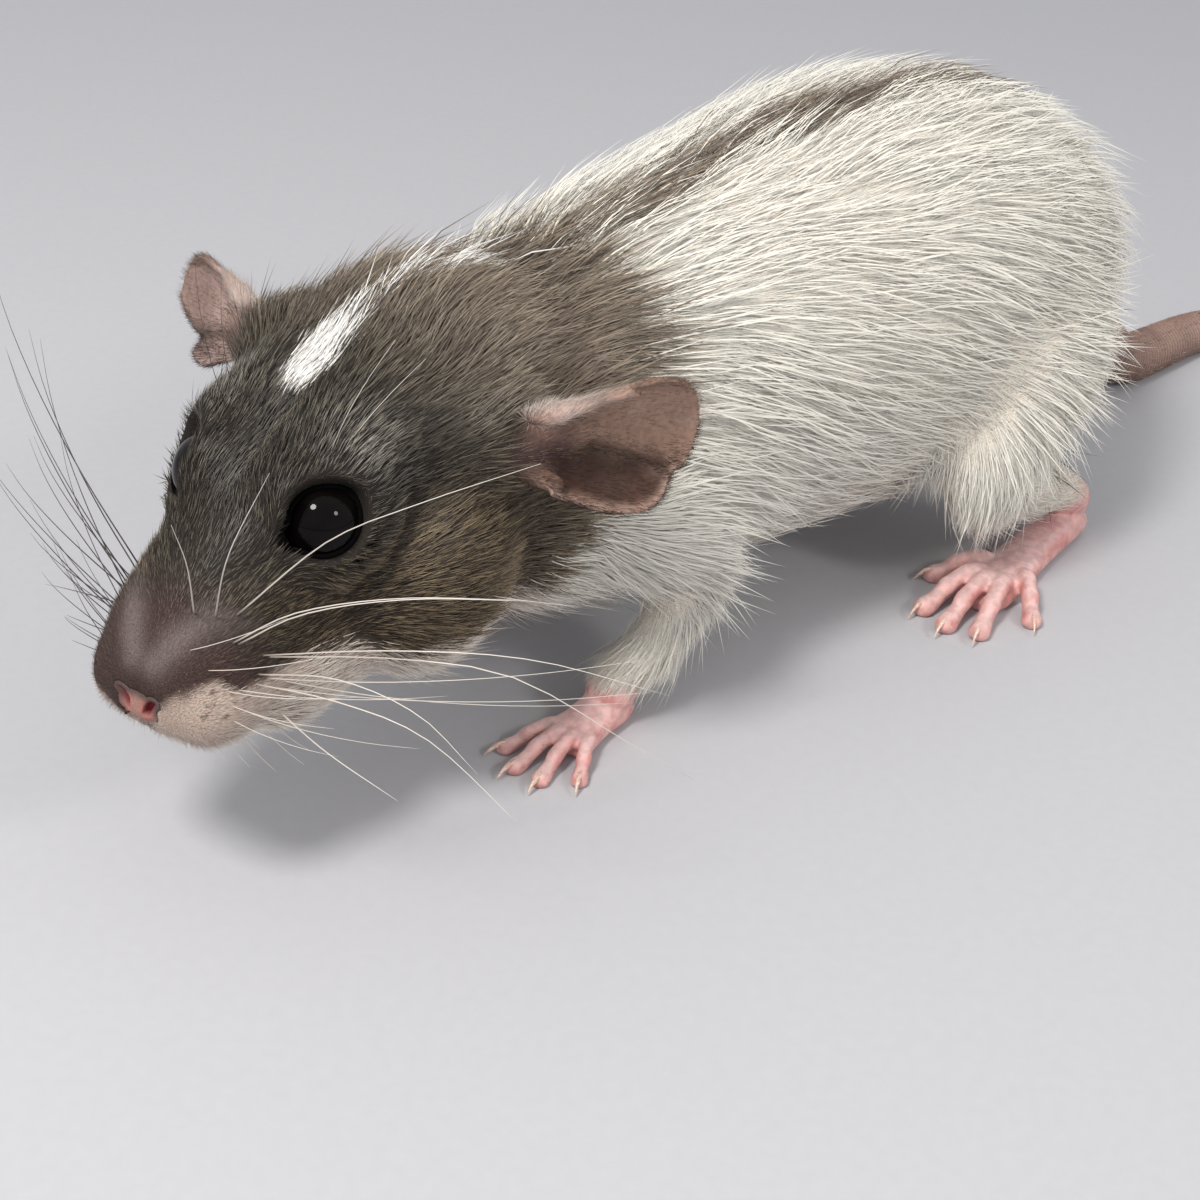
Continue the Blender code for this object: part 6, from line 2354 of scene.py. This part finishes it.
@dataclass
class Tail:
    """A scaly tail of many fine rings, with thin bristles lying back over them."""

    layout: Layout
    length: float = 165.0
    root: tuple = (-78.5, 0.0, 19.5)
    radii: tuple = (4.7, 1.0)
    taper: float = 0.85
    drop: float = 30.0
    straight: float = 12.0
    bend_radius: float = 34.0
    bend: float = 148.0
    points: int = 49
    flat: float = 0.3
    pitch: float = 0.85  # between rings
    sides: int = 18
    finish: MoistFinish = MoistFinish("tail_skin", 0.55, 0.35, 0.06, 0.08)
    skin: str = "#977b6e"
    shade: str = "#65504a"
    # darker tone for random mottling, and painted shade in the grooves between the rings
    tip_colour: str = "#b89a90"
    bristle_tones: tuple = ("#4a3d38", "#d8cabf")
    bristle: CoatFinish = CoatFinish("tail_bristle", 0.5, 0.3)

    def line(self) -> Array:
        """The tail's line with its radius: down to the floor, a little back, then round to the left."""
        rows = []
        x, y, z = self.root
        heading = math.pi
        step = self.length / (self.points - 1)
        for i in range(self.points):
            gone = i * step
            radius = self.radii[0] + (self.radii[1] - self.radii[0]) * (gone / self.length) ** self.taper
            height = radius - self.flat
            share = min(gone / self.drop, 1.0)
            height = z + (height - z) * (share * share * (3 - 2 * share))
            rows.append((x, y, height, radius))
            curved = max(gone - self.drop - self.straight, 0.0)
            turned = min(curved / self.bend_radius, math.radians(self.bend))
            heading = math.pi - turned
            x += math.cos(heading) * step
            y += math.sin(heading) * step
        return np.array(rows)

    def build(self) -> list[bpy.types.Object]:
        """The tail, which stands for its solids, and its bristles."""
        rows = self.line()
        gone = np.linspace(0, self.length, len(rows))
        rings = int(self.length / self.pitch)
        places, swell = [], []
        for i in range(rings):
            for part, out in ((0.0, 1.035), (0.55, 1.0), (0.92, 0.955)):
                places.append((i + part) * self.pitch)
                swell.append(out)
        even = np.array(places)
        path = np.stack([np.interp(even, gone, rows[:, k]) for k in range(4)], axis=1)
        bm = bmesh.new()
        made_rows = [(*row[:3], row[3] * out, row[3] * out, row[3] * out) for row, out in zip(path, swell)]
        made_rows.append((*rows[-1][:3], 0.35, 0.35, 0.35))
        loft(bm, np.array(made_rows), (0, 0, 1), self.sides)
        face_outward(bm)
        bm.transform(self.layout.to_world)
        tail = link("tail_skin", mesh_of(bm, "tail"), self.finish.material())
        shape = Shape(tail)
        shape.points[:, 2] = np.maximum(shape.points[:, 2], 0.00002)
        shape.write()
        body = self.layout.in_body(shape.points)
        nearest = np.linalg.norm(body[:, None, :2] - rows[None, ::2, :2], axis=2).argmin(axis=1) * 2
        share = nearest / (len(rows) - 1)
        noise = Cloudiness(51)
        colour = blend(linear(self.skin), linear(self.shade), ease(-0.3, 0.7, noise.at(body, 4.0)) * 0.5)
        colour = blend(colour, linear(self.tip_colour), share * 0.7)
        # painted shade in the grooves between the rings of scales
        groove = np.repeat(np.array(swell) < 0.98, self.sides)
        dark = np.zeros(len(body))
        dark[: len(groove)] = groove
        paint(tail.data, blend(colour, linear(self.shade), dark * 0.55))
        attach(tail, BODY)
        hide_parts(*TAIL_NODES)
        return [tail, self.bristles(path[::3])]

    def bristles(self, rings: Array) -> bpy.types.Object:
        """Thin hairs from each ring, lying towards the tip, longest at the root."""
        rng = np.random.default_rng(61)
        along = unit(np.gradient(rings[:, :3], axis=0))
        side = unit(np.cross(along, (0.0, 0.0, 1.0)))
        up = np.cross(side, along)
        roots, tips, normals, spots = [], [], [], []
        for i in range(1, len(rings) - 2):
            for _ in range(9):
                angle = rng.random() * math.tau
                out = side[i] * math.cos(angle) + up[i] * math.sin(angle)
                point = rings[i, :3] + out * rings[i, 3] * 0.98
                length = np.interp(i, (0, 14, 60, len(rings)), (4.0, 2.2, 1.5, 1.2))
                length = length * (0.7 + 0.6 * rng.random())
                tip = point + (along[i] * 0.95 + out * 0.24) * length
                if point[2] < 0.25 or tip[2] < 0.15:
                    continue
                roots.append(point)
                tips.append(tip)
                normals.append(out)
                spots.append((0.05 + 0.9 * angle / math.tau, 0.02 + 0.95 * i / len(rings)))
        tone = blend(*map(linear, self.bristle_tones), rng.random(len(roots)) ** 1.3)
        roots, tips = (carry(self.layout.to_world, np.array(ends)) for ends in (roots, tips))
        normals, spots, finish = np.array(normals), np.array(spots), self.bristle.material()
        return spikes("tail_bristles", roots, tips, normals, 0.09 * MM, tone, spots, finish)


@dataclass
class Studio:
    """Plain pale floor, soft light and the camera at the photograph's viewing angle."""

    layout: Layout
    aim: tuple = (-22.0, 0.0, 5.0)  # in the head's frame: the point that the picture is measured from
    toward: tuple = (0.5471, 0.6878, 0.4771)  # from that point to the camera
    distance: float = 200.0
    pixels_per_mm: float = 10.31
    picture: float = 1200.0
    spot: tuple = (282.4, 520.5)  # where that point shows, in pixels from the top left
    sensor: float = 36.0
    roll: float = 5.0  # degrees, so that the head lies in the picture as it does in the photograph

    def build(self) -> None:
        """Floor, lights, world and camera."""
        self.floor()
        self.lights()
        self.camera()

    def floor(self) -> None:
        """A wide pale floor with a faint grain."""
        bm = bmesh.new()
        bmesh.ops.create_grid(bm, x_segments=2, y_segments=2, size=3.0)
        board = Board("pale_floor")
        grain = board.cloud(1.5, 3.0)
        board.finish(
            Base_Color=board.mix(grain, rgba("#b7b7bb"), rgba("#bdbdc1")),
            Roughness=0.7,
            Specular_IOR_Level=0.2,
        )
        floor = link("floor", mesh_of(bm, "floor"), board.material)

    def lights(self) -> None:
        """A near-white room, a large soft key from the picture's upper left and a fill."""
        world = bpy.data.worlds.new("room")
        world.use_nodes = True
        back = world.node_tree.nodes["Background"]
        back.inputs["Color"].default_value = (0.97, 0.98, 1.0, 1.0)
        back.inputs["Strength"].default_value = 0.68
        bpy.context.scene.world = world
        aim = self.layout.head_to_world @ Vector(self.aim)
        for name, offset, size, power, shape in (
            ("key", (0.30, 0.06, 0.46), 0.14, 2.7, "DISK"),
            ("fill", (-0.10, 0.55, 0.40), 0.12, 1.0, "DISK"),
        ):
            lamp = bpy.data.lights.new(name, "AREA")
            lamp.shape = shape
            lamp.size = size
            lamp.energy = power
            lamp.color = (1.0, 0.975, 0.94)
            holder = bpy.data.objects.new(name, lamp)
            bpy.context.scene.collection.objects.link(holder)
            holder.location = aim + Vector(offset)
            holder.rotation_euler = Vector(offset).to_track_quat("Z", "Y").to_euler()

    def camera(self) -> None:
        """The camera, level, at the photograph's angle to the head and its scale."""
        head = self.layout.head_to_world @ Vector(self.aim)
        toward = Vector(self.toward).normalized()
        place = head + toward * (self.distance * MM)
        right = Vector((-toward.y, toward.x, 0.0)).normalized()
        up = toward.cross(right).normalized()
        data = bpy.data.cameras.new("camera")
        data.sensor_width = self.sensor
        data.sensor_fit = "HORIZONTAL"
        focal = self.pixels_per_mm * self.distance
        data.lens = focal / self.picture * self.sensor
        half = self.picture / 2
        off_x, off_y = (self.spot[0] - half) / focal, (half - self.spot[1]) / focal
        look = (toward + right * off_x + up * off_y).normalized()
        data.clip_start = 0.01
        data.clip_end = 10.0
        camera = bpy.data.objects.new("camera", data)
        bpy.context.scene.collection.objects.link(camera)
        camera.location = place
        flat = Vector((-look.y, look.x, 0.0)).normalized()
        frame = Matrix((flat, look.cross(flat), look)).transposed()
        camera.rotation_euler = (frame @ Matrix.Rotation(math.radians(self.roll), 3, "Z")).to_euler()
        bpy.context.scene.camera = camera
        bpy.context.scene.view_settings.view_transform = "Standard"


def main() -> None:
    """Builds every piece in order."""
    logging.basicConfig(level=logging.INFO, format="%(name)s: %(message)s")
    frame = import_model()
    layout = Layout()
    face = Face(layout)
    limbs = four_limbs()
    feet = feet_of(layout)
    markings = Markings()
    skin_maker = Skin(layout, face, limbs, feet, markings, voxel=0.3)
    skin = skin_maker.build(frame["nodes"])
    LOG.info("skin: %d faces", len(skin.data.polygons))
    tree = skin_maker.head_tree(skin)
    for maker in (Eyes(face), Ears(layout), Tail(layout)):
        for piece in maker.build():
            LOG.info("%s: %d faces", piece.name, len(piece.data.polygons))
    Nose(face).build(skin_maker.nose_tree)
    for foot in feet:
        foot.claws()
    for piece in Whiskers(face).build(tree):
        LOG.info("%s: %d faces", piece.name, len(piece.data.polygons))
    coat = Coat(layout, Lie(layout, face), markings, limbs, share=1.0)
    for piece in coat.build(skin, BARE_LAYER, face.mouth(tree)):
        LOG.info("%s: %d faces", piece.name, len(piece.data.polygons))
    Studio(layout).build()


if __name__ == "__main__":
    main()
